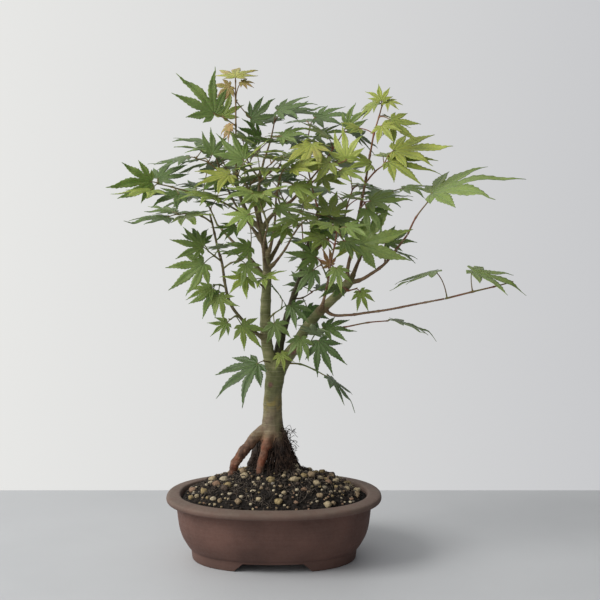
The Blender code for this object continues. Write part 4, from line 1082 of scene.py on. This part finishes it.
shoot("yellow", [(20, -2, 366), (38, -10, 382), (56, -15, 396)], [
    (2, (72, -18, 404), (92, -34, 434), FRONT, 0.74), (2, (38, -18, 420), (2, -34, 404), TILT, 0.78),
    (2, (56, -28, 402), (22, -44, 390), TILT, 0.74), (2, (64, -6, 404), (86, 12, 410), SLANT, 0.62),
    (1, (48, -22, 386), (74, -44, 380), TILT, 0.68), (2, (66, -26, 394), (88, -52, 386), TILT, 0.60),
])
shoot("middle", [(10, 0, 357), (28, -9, 354), (46, -17, 350)], [
    (2, (56, -30, 351), (64, 10, 378), TILT, 0.58), (2, (44, -30, 346), (12, -48, 348), TILT, 0.54),
    (1, (30, -20, 362), (46, -46, 378), FRONT, 0.62), (2, (60, -20, 346), (92, -34, 334), SLANT, 0.46),
])
shoot("lower_middle", [(54, -34, 288), (48, -38, 302)], [
    (1, (42, -40, 310), (12, -56, 316), FRONT, 0.42), (1, (40, -42, 298), (20, -52, 276), FRONT, 0.30),
    (0, (62, -42, 296), (68, -54, 272), FRONT, 0.46),
])
shoot("front_left", [(-4, -54, 341), (-8, -60, 354), (-12, -66, 366)], [
    (2, (-18, -72, 372), (-42, -96, 372), TILT, 0.56), (2, (-8, -74, 372), (12, -98, 376), TILT, 0.50),
    (1, (4, -60, 358), (34, -66, 354), TILT, 0.44), (1, (-22, -58, 352), (-50, -70, 342), TILT, 0.52),
])
shoot("front_right", [(57, -40, 307), (60, -48, 322), (62, -54, 336)], [
    (2, (58, -62, 342), (40, -86, 338), TILT, 0.54), (2, (70, -58, 340), (96, -74, 334), TILT, 0.46),
    (1, (50, -52, 328), (20, -68, 330), TILT, 0.58), (1, (70, -44, 326), (96, -52, 316), TILT, 0.42),
])
shoot("crown", [(-14, 12, 383), (-4, 4, 392), (6, -6, 398)], [
    (2, (8, -16, 404), (2, -48, 410), TILT, 0.66),
], [(1, 42, 20, 0.52, 0.58)])
shoot("inner", [(-10, 4, 325), (-22, 10, 338), (-30, 14, 352)], [
    (0, (-22, -4, 320), (-50, -14, 310), FRONT, 0.48), (2, (-38, 4, 346), (-62, -12, 336), TILT, 0.38),
], [(2, 42, 20, 0.24, 0.30)])
shoot("back_left", [(-60, 56, 337), (-68, 64, 354), (-76, 74, 368)], [
    (2, (-88, 82, 374), (-122, 96, 372), UP, 0.30),
], [(1, 42, 10, 0.16, 0.22), (2, 44, 90, 0.26, 0.34)])
shoot("back_high", [(-26, 56, 379), (-16, 66, 392), (-4, 76, 402)], [
    (2, (2, 84, 408), (16, 118, 412), UP, 0.40),
], [(0, 42, 20, 0.20, 0.28), (1, 42, 90, 0.24, 0.34), (2, 44, 0, 0.30, 0.42)])
shoot("back_right", [(72, 58, 337), (76, 64, 356), (82, 72, 374)], [
    (2, (88, 80, 380), (112, 106, 380), UP, 0.36),
], [(1, 44, 20, 0.24, 0.30), (2, 44, 100, 0.28, 0.40)])
shoot("back_far_right", [(104, 54, 335), (108, 61, 350), (114, 70, 364)], [], [(2, 40, 0, 0.44, 0.38)])
shoot("back_low", [(30, 72, 295), (30, 82, 314), (29, 90, 332)], [],
      [(0, 40, 90, 0.14, 0.20), (1, 42, 0, 0.24, 0.30), (2, 44, 90, 0.34, 0.28)])
shoot("back_middle", [(16, 64, 349), (10, 76, 362), (4, 86, 374)], [],
      [(1, 42, 0, 0.16, 0.22), (2, 40, 50, 0.26, 0.20)])
shoot("middle_left", [(-31, 1, 361), (-33, -14, 370), (-28, -28, 380)], [
    (2, (-24, -38, 384), (-10, -66, 388), TILT, 0.54),
], [(1, 42, 20, 0.46, 0.58), (2, 40, 90, 0.42, 0.50)])
shoot("middle_right", [(8, 0, 357), (4, -14, 372), (6, -26, 386)], [
    (1, (-8, -22, 368), (-34, -38, 358), TILT, 0.60), (2, (14, -36, 392), (34, -62, 392), TILT, 0.68),
])
shoot("middle_high", [(-14, 12, 386), (-24, 2, 400), (-28, -8, 414)], [
    (2, (-32, -18, 420), (-48, -44, 424), TILT, 0.60),
], [(1, 34, 10, 0.52, 0.48)])
shoot("right_inner", [(78, -7, 314), (68, 2, 328), (60, 8, 342)], [
    (2, (56, 16, 348), (40, 42, 352), SLANT, 0.34),
], [(1, 40, 40, 0.28, 0.40)])
shoot("crown_left", [(-22, -13, 374), (-28, -20, 383), (-34, -28, 390)], [
    (2, (-42, -34, 390), (-74, -52, 381), TILT, 0.80), (2, (-30, -38, 396), (-20, -66, 402), TILT, 0.58),
    (2, (-24, -32, 406), (-2, -52, 416), TILT, 0.64), (1, (-40, -12, 380), (-66, -22, 366), TILT, 0.40),
])
shoot("crown_front", [(3, -17, 369), (6, -28, 382), (9, -38, 392)], [
    (2, (20, -46, 396), (50, -62, 398), TILT, 0.74), (1, (20, -36, 380), (46, -54, 370), TILT, 0.56),
])
shoot("crown_back", [(-51, 17, 385), (-56, 24, 398), (-60, 30, 412)], [
    (2, (-66, 36, 418), (-88, 58, 422), SLANT, 0.34),
], [(1, 38, 20, 0.28, 0.40)])
shoot("crown_low", [(20, -22, 331), (26, -29, 340), (32, -36, 346)], [
    (2, (40, -42, 342), (68, -56, 324), TILT, 0.54), (2, (24, -46, 348), (4, -72, 342), TILT, 0.46),
    (1, (14, -36, 338), (-14, -50, 330), TILT, 0.58),
])
shoot("leader_front", [(-7, 2, 272), (-12, -9, 280), (-18, -18, 286)], [
    (2, (-26, -24, 289), (-52, -40, 292), TILT, 0.58), (2, (-14, -28, 292), (4, -52, 302), TILT, 0.52),
])
shoot("left_inner_high", [(-36, -1, 380), (-46, 10, 394), (-54, 18, 408)], [
    (2, (-60, 26, 414), (-80, 46, 416), SLANT, 0.30), (2, (-50, 30, 416), (-36, 62, 418), SLANT, 0.36),
], [(1, 40, 30, 0.26, 0.40)])
print(len(SHOOTS), "shoots")

# %% [markdown]
# ## Room for each leaf
# Leaves on a real plant push each other aside. The CAD does the same: a leaf turns, nods and lifts on
# its stalk until it clears its neighbours. Repeating the same search here gives every leaf the place
# that its solid has, without copying hundreds of coordinates. Probes are thin shells round a blade or a
# stalk, with a little room to spare, that show whether two of them would touch.

# %% Probes
def blade_frame(base, tip, look):
    """Axes along the middle lobe, across the blade and out of its upper face."""
    along = (tip - base).normalized()
    face = (look - along * look.dot(along)).normalized()
    return along, along.cross(face), face


def probe_blade(base, tip, look):
    along, across, face = blade_frame(base, tip, look)
    length = (tip - base).length
    points = [base]
    for angle, reach in CAD_LOBES:
        turn = math.radians(angle)
        out = along * math.cos(turn) + across * math.sin(turn)
        points.append(base + (out * reach - face * DROOP * reach**2) * length)
    room = BLADE_THICKNESS / 2 + CLEARANCE * 1.5
    both = [point + face * side * room for side in (-1, 1) for point in points]
    count = len(points)
    first = [(0, here, here + 1) for here in range(1, count - 1)]
    second = [tuple(corner + count for corner in triangle) for triangle in first]
    edges = [(here, here + 1, here + 1 + count, here + count) for here in range(count - 1)]
    return BVHTree.FromPolygons(both, first + second + edges)


def probe_rod(start, end, radius):
    direction = (end - start).normalized()
    side = direction.orthogonal().normalized()
    other = direction.cross(side)
    room = radius + CLEARANCE * 1.5
    corners = [side * room, other * room, -side * room, -other * room]
    points = [place + corner for place in (start, end) for corner in corners]
    faces = [(here, (here + 1) % 4, (here + 1) % 4 + 4, here + 4) for here in range(4)]
    return BVHTree.FromPolygons(points, faces)


def probe_stem(points):
    return [probe_rod(start, end, SHOOT_RADIUS) for start, end in zip(points, points[1:])]


def touches(probe, surfaces):
    return any(probe.overlap(surface) for surface in surfaces)


print("a blade's probe has", 2 * (len(CAD_LOBES) + 1), "points")

# %% [markdown]
# ## The search
# `settle` tries lifts, nods and swings in turn, from none to large, and takes the first that is clear.

# %% Search for room
SWINGS = [0, 14, -14, 28, -28, 44, -44]
NODS = [0, 14, -14, 28, -28]
LIFTS = [0, 0.005, -0.005, 0.010, -0.010]


def settle(foot, base, tip, look, others, own):
    along, across, face = blade_frame(base, tip, look)
    for lift in LIFTS:
        for nod in NODS:
            for swing in SWINGS:
                turn = Matrix.Rotation(math.radians(swing), 3, face)
                turn = turn @ Matrix.Rotation(math.radians(nod), 3, across)
                new_base = base + face * lift
                new_tip = new_base + turn @ (tip - base)
                blade = probe_blade(new_base, new_tip, turn @ face)
                if touches(blade, others + own):
                    continue
                if not touches(probe_rod(foot, new_base, STALK_RADIUS), others):
                    return new_base, new_tip, turn @ face
    return None


print("each leaf has", len(SWINGS) * len(NODS) * len(LIFTS), "tries")

# %% [markdown]
# ## Leaves of every shoot
# The leaves of a shoot's plan come first and its opposite pairs after them. A shoot that starts inside
# the wood is cut back to the wood's surface before its leaves are placed.

# %% Leaf placing
def paired_leaves(stem, joint, size, turn, *ages):
    place = stem[joint]
    before = stem[max(joint - 1, 0)]
    direction = (place - before if joint else stem[1] - place).normalized()
    side = direction.cross(Vector((0, 0, 1))).normalized()
    side = Matrix.Rotation(math.radians(turn), 3, direction) @ side
    leaves = []
    for sign, age in zip((-1, 1), ages):
        stalk = (direction * 0.55 + side * sign + Vector((0, 0, 0.15))).normalized()
        base = place + stalk * STALK_SHARE * size
        out = Vector((stalk.x, stalk.y, stalk.z * 0.4 - 0.2)).normalized()
        leaves.append((place, base, base + out * size, Vector((0, -0.3, 1)), age))
    return leaves


def leaf_list(stem, plan):
    leaves = []
    for joint, base, tip, look, age in plan["leaves"]:
        leaves.append((stem[joint], Vector(base) * MM, Vector(tip) * MM, Vector(look), age))
    for joint, size, turn, *ages in plan["pairs"]:
        leaves += paired_leaves(stem, joint, size * MM, turn, *ages)
    return leaves


def outside_start(points, wood_surface):
    clear = SHOOT_RADIUS * 1.5 + CLEARANCE
    direction = (points[1] - points[0]).normalized()
    for step in range(400):
        place = points[0] + direction * step * 0.2 * MM
        near, normal, _, distance = wood_surface.find_nearest(place)
        if (place - near).dot(normal) > 0 and distance > clear:
            return [place, *points[1:]]
    return points


def place_leaves():
    """Each shoot's leaves as (foot, base, tip, look, age)."""
    solid = frame["nodes"]["tree"].data
    corners = [vertex.co - POT for vertex in solid.vertices]
    wood_surface = BVHTree.FromPolygons(corners, [tuple(face.vertices) for face in solid.polygons])
    stems = {}
    for name, plan in SHOOTS.items():
        stems[name] = outside_start([Vector(point) * MM for point in plan["stem"]], wood_surface)
    stem_probes = {name: probe_stem(points) for name, points in stems.items()}
    placed = {name: [] for name in SHOOTS}
    leaves = {name: [] for name in SHOOTS}
    for name, plan in SHOOTS.items():
        for foot, base, tip, look, age in leaf_list(stems[name], plan):
            others = [wood_surface]
            for other, surfaces in placed.items():
                if other != name:
                    others += stem_probes[other] + surfaces
            spot = settle(foot, base, tip, look, others, stem_probes[name] + placed[name])
            if spot is None:
                continue
            placed[name] += [probe_blade(*spot), probe_rod(foot, spot[0], STALK_RADIUS)]
            leaves[name].append((foot, *spot, age))
    return stems, leaves


stems, leaves = place_leaves()
print(sum(len(group) for group in leaves.values()), "leaves placed")

# %% [markdown]
# ## Blade of a leaf
# A maple leaf has seven pointed lobes that meet at the stalk, each with a saw edge and a midrib. One
# flat template is made first. Every lobe is a strip of stations along its midrib, and neighbouring
# strips share the line from the stalk to the notch between them, so the welded blade is one sheet.
# The template also remembers, at each point, how far along and across its lobe it is. The veins and
# the red margins are painted by those.

# %% Flat blade
LOBES = [(-110, 0.28), (-72, 0.56), (-35, 0.86), (0, 1.0), (35, 0.86), (72, 0.56), (110, 0.28)]
NOTCHES = [0.06, 0.14, 0.20, 0.25, 0.25, 0.20, 0.14, 0.06]
OUTER_NOTCH = 134
TEETH = 8
TOOTH = 0.026
WIDEST = 0.34
HALF_WIDTH = 0.120
COLUMNS = (-1, -0.5, 0, 0.5, 1)
INNER_STATIONS = 3


def lobe_width(share, at_notch, widest):
    """Half the lobe's width at this share of the way from its notches to its tip."""
    if share < WIDEST:
        ease = share / WIDEST
        return at_notch + (widest - at_notch) * ease * ease * (3 - 2 * ease)
    rest = (share - WIDEST) / (1 - WIDEST)
    return widest * (1 - rest) ** 1.45 * (1 + 0.85 * rest)


def turned(angle, distance):
    return np.array((math.cos(math.radians(angle)), math.sin(math.radians(angle)))) * distance


print(len(LOBES), "lobes with", 2 * TEETH, "stations each")

# %% [markdown]
# ## Welding the template
# The strips are built lobe by lobe. Points that fall together are welded at the end, which closes the
# lines from the stalk to the notches.

# %% Blade template
def blade_template():
    """Points (x, y), faces, and per face corner (along, across, rim), for a middle lobe of length 1."""
    angles = [-OUTER_NOTCH] + [(a[0] + b[0]) / 2 for a, b in zip(LOBES, LOBES[1:])] + [OUTER_NOTCH]
    notches = [turned(angle, distance) for angle, distance in zip(angles, NOTCHES)]
    points, faces, corners, lobe_of = [], [], [], []
    for number, (angle, reach) in enumerate(LOBES):
        axis = turned(angle, 1)
        across = np.array((-axis[1], axis[0]))
        low, high = notches[number], notches[number + 1]
        start = (np.dot(low, axis) + np.dot(high, axis)) / 2
        rows = []
        for station in range(INNER_STATIONS + 1):
            t = station / INNER_STATIONS
            middle = axis * start * t
            row = []
            for column in COLUMNS:
                edge = (low if column < 0 else high) * t
                place = middle + (edge - middle) * abs(column)
                row.append((place, t * start, np.dot(place, across), 0.0))
            rows.append(row)
        for station in range(1, 2 * TEETH + 1):
            t = station / (2 * TEETH)
            tooth = station % 2
            along = start + (reach - start) * min(t + tooth * 0.35 / (2 * TEETH), 1)
            row = []
            for column in COLUMNS:
                at_notch = abs(np.dot(low if column < 0 else high, across))
                lean = np.dot(low if column < 0 else high, axis) - start
                half = lobe_width(t, at_notch, HALF_WIDTH * reach**0.6)
                if abs(column) == 1:
                    half += TOOTH * tooth * (1 - t) ** 0.6 * reach**0.5
                side = math.copysign(half * abs(column), column) if column else 0
                place = axis * (along + lean * abs(column) * (1 - t) ** 3) + across * side
                row.append((place, along, side, abs(column) * min(t * 4, 1)))
            rows.append(row)
        for lower, upper in zip(rows, rows[1:]):
            for here in range(len(COLUMNS) - 1):
                quad = [lower[here], lower[here + 1], upper[here + 1], upper[here]]
                kept = [quad[0]]
                for corner in quad[1:]:
                    if not np.allclose(corner[0], kept[-1][0], atol=1e-6):
                        kept.append(corner)
                if len(kept) > 2 and np.allclose(kept[0][0], kept[-1][0], atol=1e-6):
                    kept.pop()
                if len(kept) < 3:
                    continue
                faces.append(list(range(len(points), len(points) + len(kept))))
                points += [corner[0] for corner in kept]
                corners += [corner[1:] for corner in kept]
                lobe_of += [number] * len(kept)
    points = np.round(np.array(points), 5)
    unique, first, index = np.unique(points, axis=0, return_index=True, return_inverse=True)
    faces = [[int(index.reshape(-1)[corner]) for corner in face] for face in faces]
    return unique, faces, np.array(corners), np.array(lobe_of)[first]


template = blade_template()
print("blade:", len(template[0]), "points,", len(template[1]), "faces")

# %% [markdown]
# ## Bending the blade
# No leaf is flat. Its lobes droop towards their tips and curl a little, each lobe is a shallow gutter
# along its midrib, the saw edge waves, and no two lobes are quite the same length. These moves are
# applied to the template with different seeded amounts for each leaf, so that no two leaves match.

# %% Bent blades
def bent_blade(source, length, wither):
    """The template's points as one bent leaf: x along the middle lobe, y across, z out of its face."""
    flat, _, _, lobe_of = template
    reach = np.hypot(flat[:, 0], flat[:, 1])
    angle = np.arctan2(flat[:, 1], flat[:, 0])
    lobe_angles = np.radians(np.array([lobe[0] for lobe in LOBES]))
    stretch = np.array([source.uniform(0.90, 1.08) for _ in LOBES])
    sickle = np.array([source.uniform(-0.16, 0.16) for _ in LOBES])
    droop = source.uniform(0.0, 0.08) + np.array([source.uniform(-0.02, 0.10) for _ in LOBES]) + wither * 0.25
    curl = np.array([source.uniform(-0.20, 0.34) for _ in LOBES]) + wither * 0.2
    fanned = source.uniform(0.80, 1.04)
    narrow = source.uniform(0.62, 0.98) - wither * 0.25
    gutter = source.uniform(0.10, 0.34) + wither * 0.4
    free = np.clip((reach - 0.28) / 0.5, 0, 1)
    off_axis = angle - lobe_angles[lobe_of]
    closed = 1 - (1 - narrow) * free
    shut = 1 + (fanned - 1) * np.clip(reach / 0.2, 0, 1)
    angle = (lobe_angles[lobe_of] + off_axis * closed) * shut + sickle[lobe_of] * free**2
    reach = reach * (1 + (stretch[lobe_of] - 1) * free)
    across = np.abs(np.sin(off_axis)) * reach
    height = gutter * across - droop[lobe_of] * reach**2
    height = height - curl[lobe_of] * np.clip(reach - 0.62, 0, 1) ** 2 * 2.2
    seed = source.uniform(0, 60)
    ripple = [noise.noise(Vector((x * 3.4 + seed, y * 3.4, seed))) for x, y in flat]
    height = height + np.array(ripple) * 0.050 * (0.3 + free)
    return np.stack([reach * np.cos(angle), reach * np.sin(angle), height], axis=1) * length


def leaves_mesh(name, group, seed):
    source = random.Random(seed)
    points, faces, tones, blades = [], [], [], []
    _, shape_faces, corners, _ = template
    for foot, base, tip, look, age in group:
        along, across, face = blade_frame(base, tip, look)
        turn = np.array([along, across, face])
        wither = max(age - 0.88, 0) * 4
        bent = bent_blade(source, (tip - base).length, wither)
        start = sum(len(part) for part in points)
        points.append(bent @ turn + np.array(base))
        faces += [[start + corner for corner in outline] for outline in shape_faces]
        shade = source.uniform(0.25, 0.75)
        own_age = min(max(age + source.uniform(-0.05, 0.05), 0), 1)
        tones += [(own_age, shade, rim, 1) for _, _, rim in corners]
        blades += [(lengthwise, 0.5 + sideways) for lengthwise, sideways, _ in corners]
    mesh = bpy.data.meshes.new(name)
    mesh.from_pydata(np.concatenate(points).tolist(), [], faces)
    mesh.attributes.new("tone", "FLOAT_COLOR", "CORNER").data.foreach_set("color", np.array(tones).ravel())
    mesh.uv_layers.new(name="blade").data.foreach_set("uv", np.array(blades).ravel())
    return mesh


# %% [markdown]
# ## Leaf finish
# The upper face is satin and the underside is paler and dull. Age sets the main colour: dark green,
# fresh green, yellow green, then the orange red of a leaf that has just opened. Over that come pale
# midribs, fine slanting side veins, soft mottling, and on young leaves a red margin. A little
# subsurface light lets the sun glow through the thin blades.

# %% Leaf finishes
UPPER = [(0.0, (0.062, 0.098, 0.036)), (0.25, (0.106, 0.156, 0.052)), (0.45, (0.166, 0.224, 0.058)),
         (0.60, (0.232, 0.286, 0.056)), (0.80, (0.340, 0.372, 0.068)), (0.90, (0.380, 0.285, 0.105)),
         (1.0, (0.480, 0.190, 0.110))]
UNDER = [(0.0, (0.125, 0.152, 0.090)), (0.45, (0.190, 0.232, 0.110)), (0.76, (0.320, 0.350, 0.120)),
         (1.0, (0.430, 0.215, 0.135))]


def leaf_finish(name, stops, roughness, vein_strength):
    finish, tree, shader = new_finish(name, roughness, 0.36)
    tone = attribute(tree, "tone", "Color")
    parts = node(tree, "SeparateColor", {"Color": tone}).outputs
    age, shade, rim = parts["Red"], parts["Green"], parts["Blue"]
    place = node(tree, "UVMap", uv_map="blade").outputs["UV"]
    blade = node(tree, "SeparateXYZ", {"Vector": place}).outputs
    sideways = calculate(tree, "ABSOLUTE", calculate(tree, "SUBTRACT", blade["Y"], 0.5))
    drift = spread(tree, grain(tree, 60, 3), 0.25, 0.75, -0.07, 0.07)
    base = ramp(tree, calculate(tree, "ADD", age, drift), stops)
    mottle = spread(tree, grain(tree, 420, 3), 0.3, 0.7, 0.86, 1.12)
    light = times(tree, mottle, spread(tree, shade, 0, 1, 0.66, 1.34))
    light = node(tree, "CombineXYZ", {0: light, 1: light, 2: light}).outputs[0]
    toned = node(tree, "VectorMath", {0: base, 1: light}, operation="MULTIPLY").outputs[0]
    young = spread(tree, age, 0.76, 0.93)
    margin = times(tree, spread(tree, rim, 0.62, 1.0), spread(tree, young, 0, 1, 0.0, 0.75))
    edged = blend(tree, margin, toned, (0.330, 0.070, 0.030))
    slant = calculate(tree, "SUBTRACT", times(tree, blade["X"], 74), times(tree, sideways, 78))
    side_vein = spread(tree, calculate(tree, "SINE", slant), 0.72, 0.98)
    midrib = spread(tree, sideways, 0.0095, 0.0035)
    veins = calculate(tree, "MAXIMUM", midrib, times(tree, side_vein, 0.42))
    vein_tone = blend(tree, young, (0.150, 0.230, 0.075), (0.330, 0.150, 0.065))
    veined = blend(tree, times(tree, veins, vein_strength), edged, vein_tone)
    paint(tree, shader, veined)
    shader.inputs["Subsurface Weight"].default_value = 0.12
    shader.inputs["Subsurface Radius"].default_value = (0.0010, 0.0018, 0.0004)
    shader.inputs["Subsurface Scale"].default_value = 1.0
    fine = bump(tree, shader, grain(tree, 1600, 2), 0.00004)
    bump(tree, shader, veins, -0.00022, fine)
    return finish


leaf_top = leaf_finish("maple_leaf_upper", UPPER, 0.44, 0.55)
leaf_under = leaf_finish("maple_leaf_under", UNDER, 0.62, 0.22)

# %% [markdown]
# ## Twigs, stalks and buds
# A shoot's stem swells a little at each joint, where leaves and buds sit. Leaf stalks are thinner, round
# and arched. The youngest wood and the stalks of young leaves are red, and older ones are olive green.

# %% Twigs and stalks
STALK_STEPS = 9
BUD_LENGTH = 0.0027


def swollen_stem(curve, points):
    """The stem as a smooth tapering rod that swells at its joints."""
    line = smooth_line([tuple(point / MM) for point in points], 7)
    joints = [np.array(point / MM) for point in points[1:]]
    places, radii = [], []
    for step, place in enumerate(line):
        t = step / (len(line) - 1)
        nearest = min(np.linalg.norm(place - joint) for joint in joints)
        places.append(Vector(place) * MM)
        radii.append(SHOOT_RADIUS * (1.02 - 0.42 * t) * (1 + 0.42 * math.exp(-((nearest / 1.5) ** 2))))
    add_tube(curve, places, radii, False)


def arched_stalk(curve, foot, base, along):
    """A leaf stalk from its joint to the blade. It leaves level and then follows the blade."""
    span = (base - foot).length
    control = foot.lerp(base, 0.5) + Vector((0, 0, 0.16 * span)) - along * span * 0.12
    places, radii = [], []
    for step in range(STALK_STEPS + 1):
        t = step / STALK_STEPS
        places.append(foot * (1 - t) ** 2 + control * 2 * t * (1 - t) + base * t**2)
        radii.append(STALK_RADIUS * (0.72 + 0.45 * (1 - t) ** 6 + 0.18 * t**8))
    places.append(base + along * 0.0018)
    radii.append(STALK_RADIUS * 0.45)
    add_tube(curve, places, radii, False)


def bud(curve, place, direction):
    tip = place + direction * BUD_LENGTH
    rings = [place, place.lerp(tip, 0.35), place.lerp(tip, 0.75), tip]
    add_tube(curve, rings, [0.0006, 0.0008, 0.0005, 0.0001], False)


def twigs_mesh(name, stem, group):
    curve = new_curve(name, 2, 3)
    swollen_stem(curve, stem)
    for foot, base, tip, look, age in group:
        along = (tip - base).normalized()
        arched_stalk(curve, foot, base, along)
        bud(curve, foot, ((base - foot).normalized() + Vector((0, 0, 0.9))).normalized())
    return clean_mesh(applied(loose_object(name, curve)))


def twig_finish():
    finish, tree, shader = new_finish("young_shoot", 0.46, 0.4)
    redness = times(tree, spread(tree, grain(tree, 38, 3), 0.36, 0.60), sunny_side(tree))
    tone = blend(tree, redness, (0.130, 0.170, 0.048), (0.235, 0.085, 0.045))
    high = spread(tree, height_above_table(tree), 0.30, 0.44)
    tone = blend(tree, times(tree, high, 0.45), tone, (0.300, 0.105, 0.058))
    specks = spread(tree, grain(tree, 600, 3), 0.45, 0.75, 0, 0.4)
    paint(tree, shader, blend(tree, specks, tone, (0.080, 0.050, 0.028)))
    bump(tree, shader, grain(tree, 1500, 3), 0.00006)
    return finish


young_shoot = twig_finish()
print("made", young_shoot.name)

# %% [markdown]
# ## The leafy shoots
# Each shoot becomes two pieces, its twigs and its leaves, that stand for one CAD node. The blades are
# thin sheets, and a modifier gives them thickness, with the dull finish on the underside.

# %% Leafy shoots
LEAF_THICKNESS = 0.35 * MM
FIRST_LEAF_SEED = 100
for seed, (name, group) in enumerate(leaves.items()):
    stem = [Vector(point) * MM for point in SHOOTS[name]["stem"]]
    twigs, blades, node_names = f"twigs_{name}", f"leaves_{name}", [f"shoot_{name}"]
    add_piece(twigs, twigs_mesh(twigs, stem, group), [young_shoot], node_names)
    sheet = add_piece(blades, leaves_mesh(blades, group, seed + FIRST_LEAF_SEED), [leaf_top, leaf_under],
                      node_names)
    modify(sheet, "SOLIDIFY", thickness=LEAF_THICKNESS, offset=0, material_offset=1, material_offset_rim=0)
print("leafy shoots made:", len(leaves))

# %% [markdown]
# ## Table, wall and light
# The plant stands on a plain pale table whose far edge shows behind the pot, in front of a pale wall.
# The wall is only the world's colour, so that it never stands in the way of a view from behind. One
# large soft lamp hangs up on the left and in front, and the pale wall fills the shade.

# %% Table
TABLE_FAR_EDGE = 0.26
TABLE_REACH = 1.15
TABLE_THICKNESS = 0.03


def table_mesh():
    work = bmesh.new()
    corners = [(-TABLE_REACH, -TABLE_REACH), (TABLE_REACH, -TABLE_REACH), (TABLE_REACH, TABLE_FAR_EDGE),
               (-TABLE_REACH, TABLE_FAR_EDGE)]
    top = work.faces.new([work.verts.new((x, y, 0)) for x, y in corners])
    slab = bmesh.ops.extrude_face_region(work, geom=[top])
    lower = [item for item in slab["geom"] if isinstance(item, bmesh.types.BMVert)]
    bmesh.ops.translate(work, verts=lower, vec=(0, 0, -TABLE_THICKNESS))
    bmesh.ops.recalc_face_normals(work, faces=work.faces)
    bmesh.ops.bevel(work, geom=work.edges[:], offset=0.002, segments=2, profile=0.5, affect="EDGES")
    mesh = written(work, bpy.data.meshes.new("table"))
    mesh.materials.append(mottled("painted_table", (0.6, 0.3), (6, 4), (0.3, (0.470, 0.482, 0.498)),
                                  (0.7, (0.500, 0.512, 0.528)), (300, 3, 0.0001)))
    return mesh


table = loose_object("table", table_mesh())
table.location = POT
print("table's far edge is", TABLE_FAR_EDGE, "m behind the pot's middle")

# %% [markdown]
# ## Light
# Daylight from a window is a big, soft source. An area lamp of more than a metre gives the same soft
# shadow. The world is pale grey, which is both the wall's colour and the fill light.

# %% Lights
def soft_lamp(name, place, aim, size, power, colour):
    lamp = bpy.data.lights.new(name, "AREA")
    lamp.size = size
    lamp.energy = power
    lamp.color = colour
    made = loose_object(name, lamp)
    made.location = Vector(place) + POT
    made.rotation_euler = (Vector(aim) + POT - made.location).to_track_quat("-Z", "Y").to_euler()
    return made


def wall_light():
    """The world: pale grey, brighter towards the window on the left."""
    world = bpy.data.worlds.new("wall")
    world.use_nodes = True
    sky = world.node_tree
    direction = node(sky, "TexCoord").outputs["Generated"]
    sideways = node(sky, "SeparateXYZ", {"Vector": direction}).outputs["X"]
    shade = ramp(sky, spread(sky, sideways, -1, 1), [(0.0, (1.25, 1.24, 1.20)), (0.38, (0.80, 0.80, 0.785)),
                                                    (0.62, (0.585, 0.59, 0.605)), (0.85, (0.10, 0.10, 0.11))])
    sky.links.new(shade, sky.nodes["Background"].inputs["Color"])
    return world


soft_lamp("window", (-1.8, -0.8, 1.7), (0, 0, 0.22), 1.2, 44, (1.0, 0.985, 0.96))
bpy.context.scene.world = wall_light()
bpy.context.scene.view_settings.view_transform = "Standard"
print("lights and wall set")

# %% [markdown]
# ## Camera
# The camera stands a little over a metre away, just above the middle of the leaves, and looks slightly
# down, as a person sitting at the table would. A long lens keeps the pot's oval flat.

# %% Camera
CAMERA_PLACE = (0.0266, -1.2, 0.384)
LOOKS_DOWN = 5.7
LENS = 71.64
camera = loose_object("camera", bpy.data.cameras.new("camera"))
camera.data.lens = LENS
camera.data.sensor_width = 36
camera.location = POT + Vector(CAMERA_PLACE)
camera.rotation_euler = (math.radians(90 - LOOKS_DOWN), 0, 0)
bpy.context.scene.camera = camera
print("camera looks from", tuple(round(value, 3) for value in camera.location))
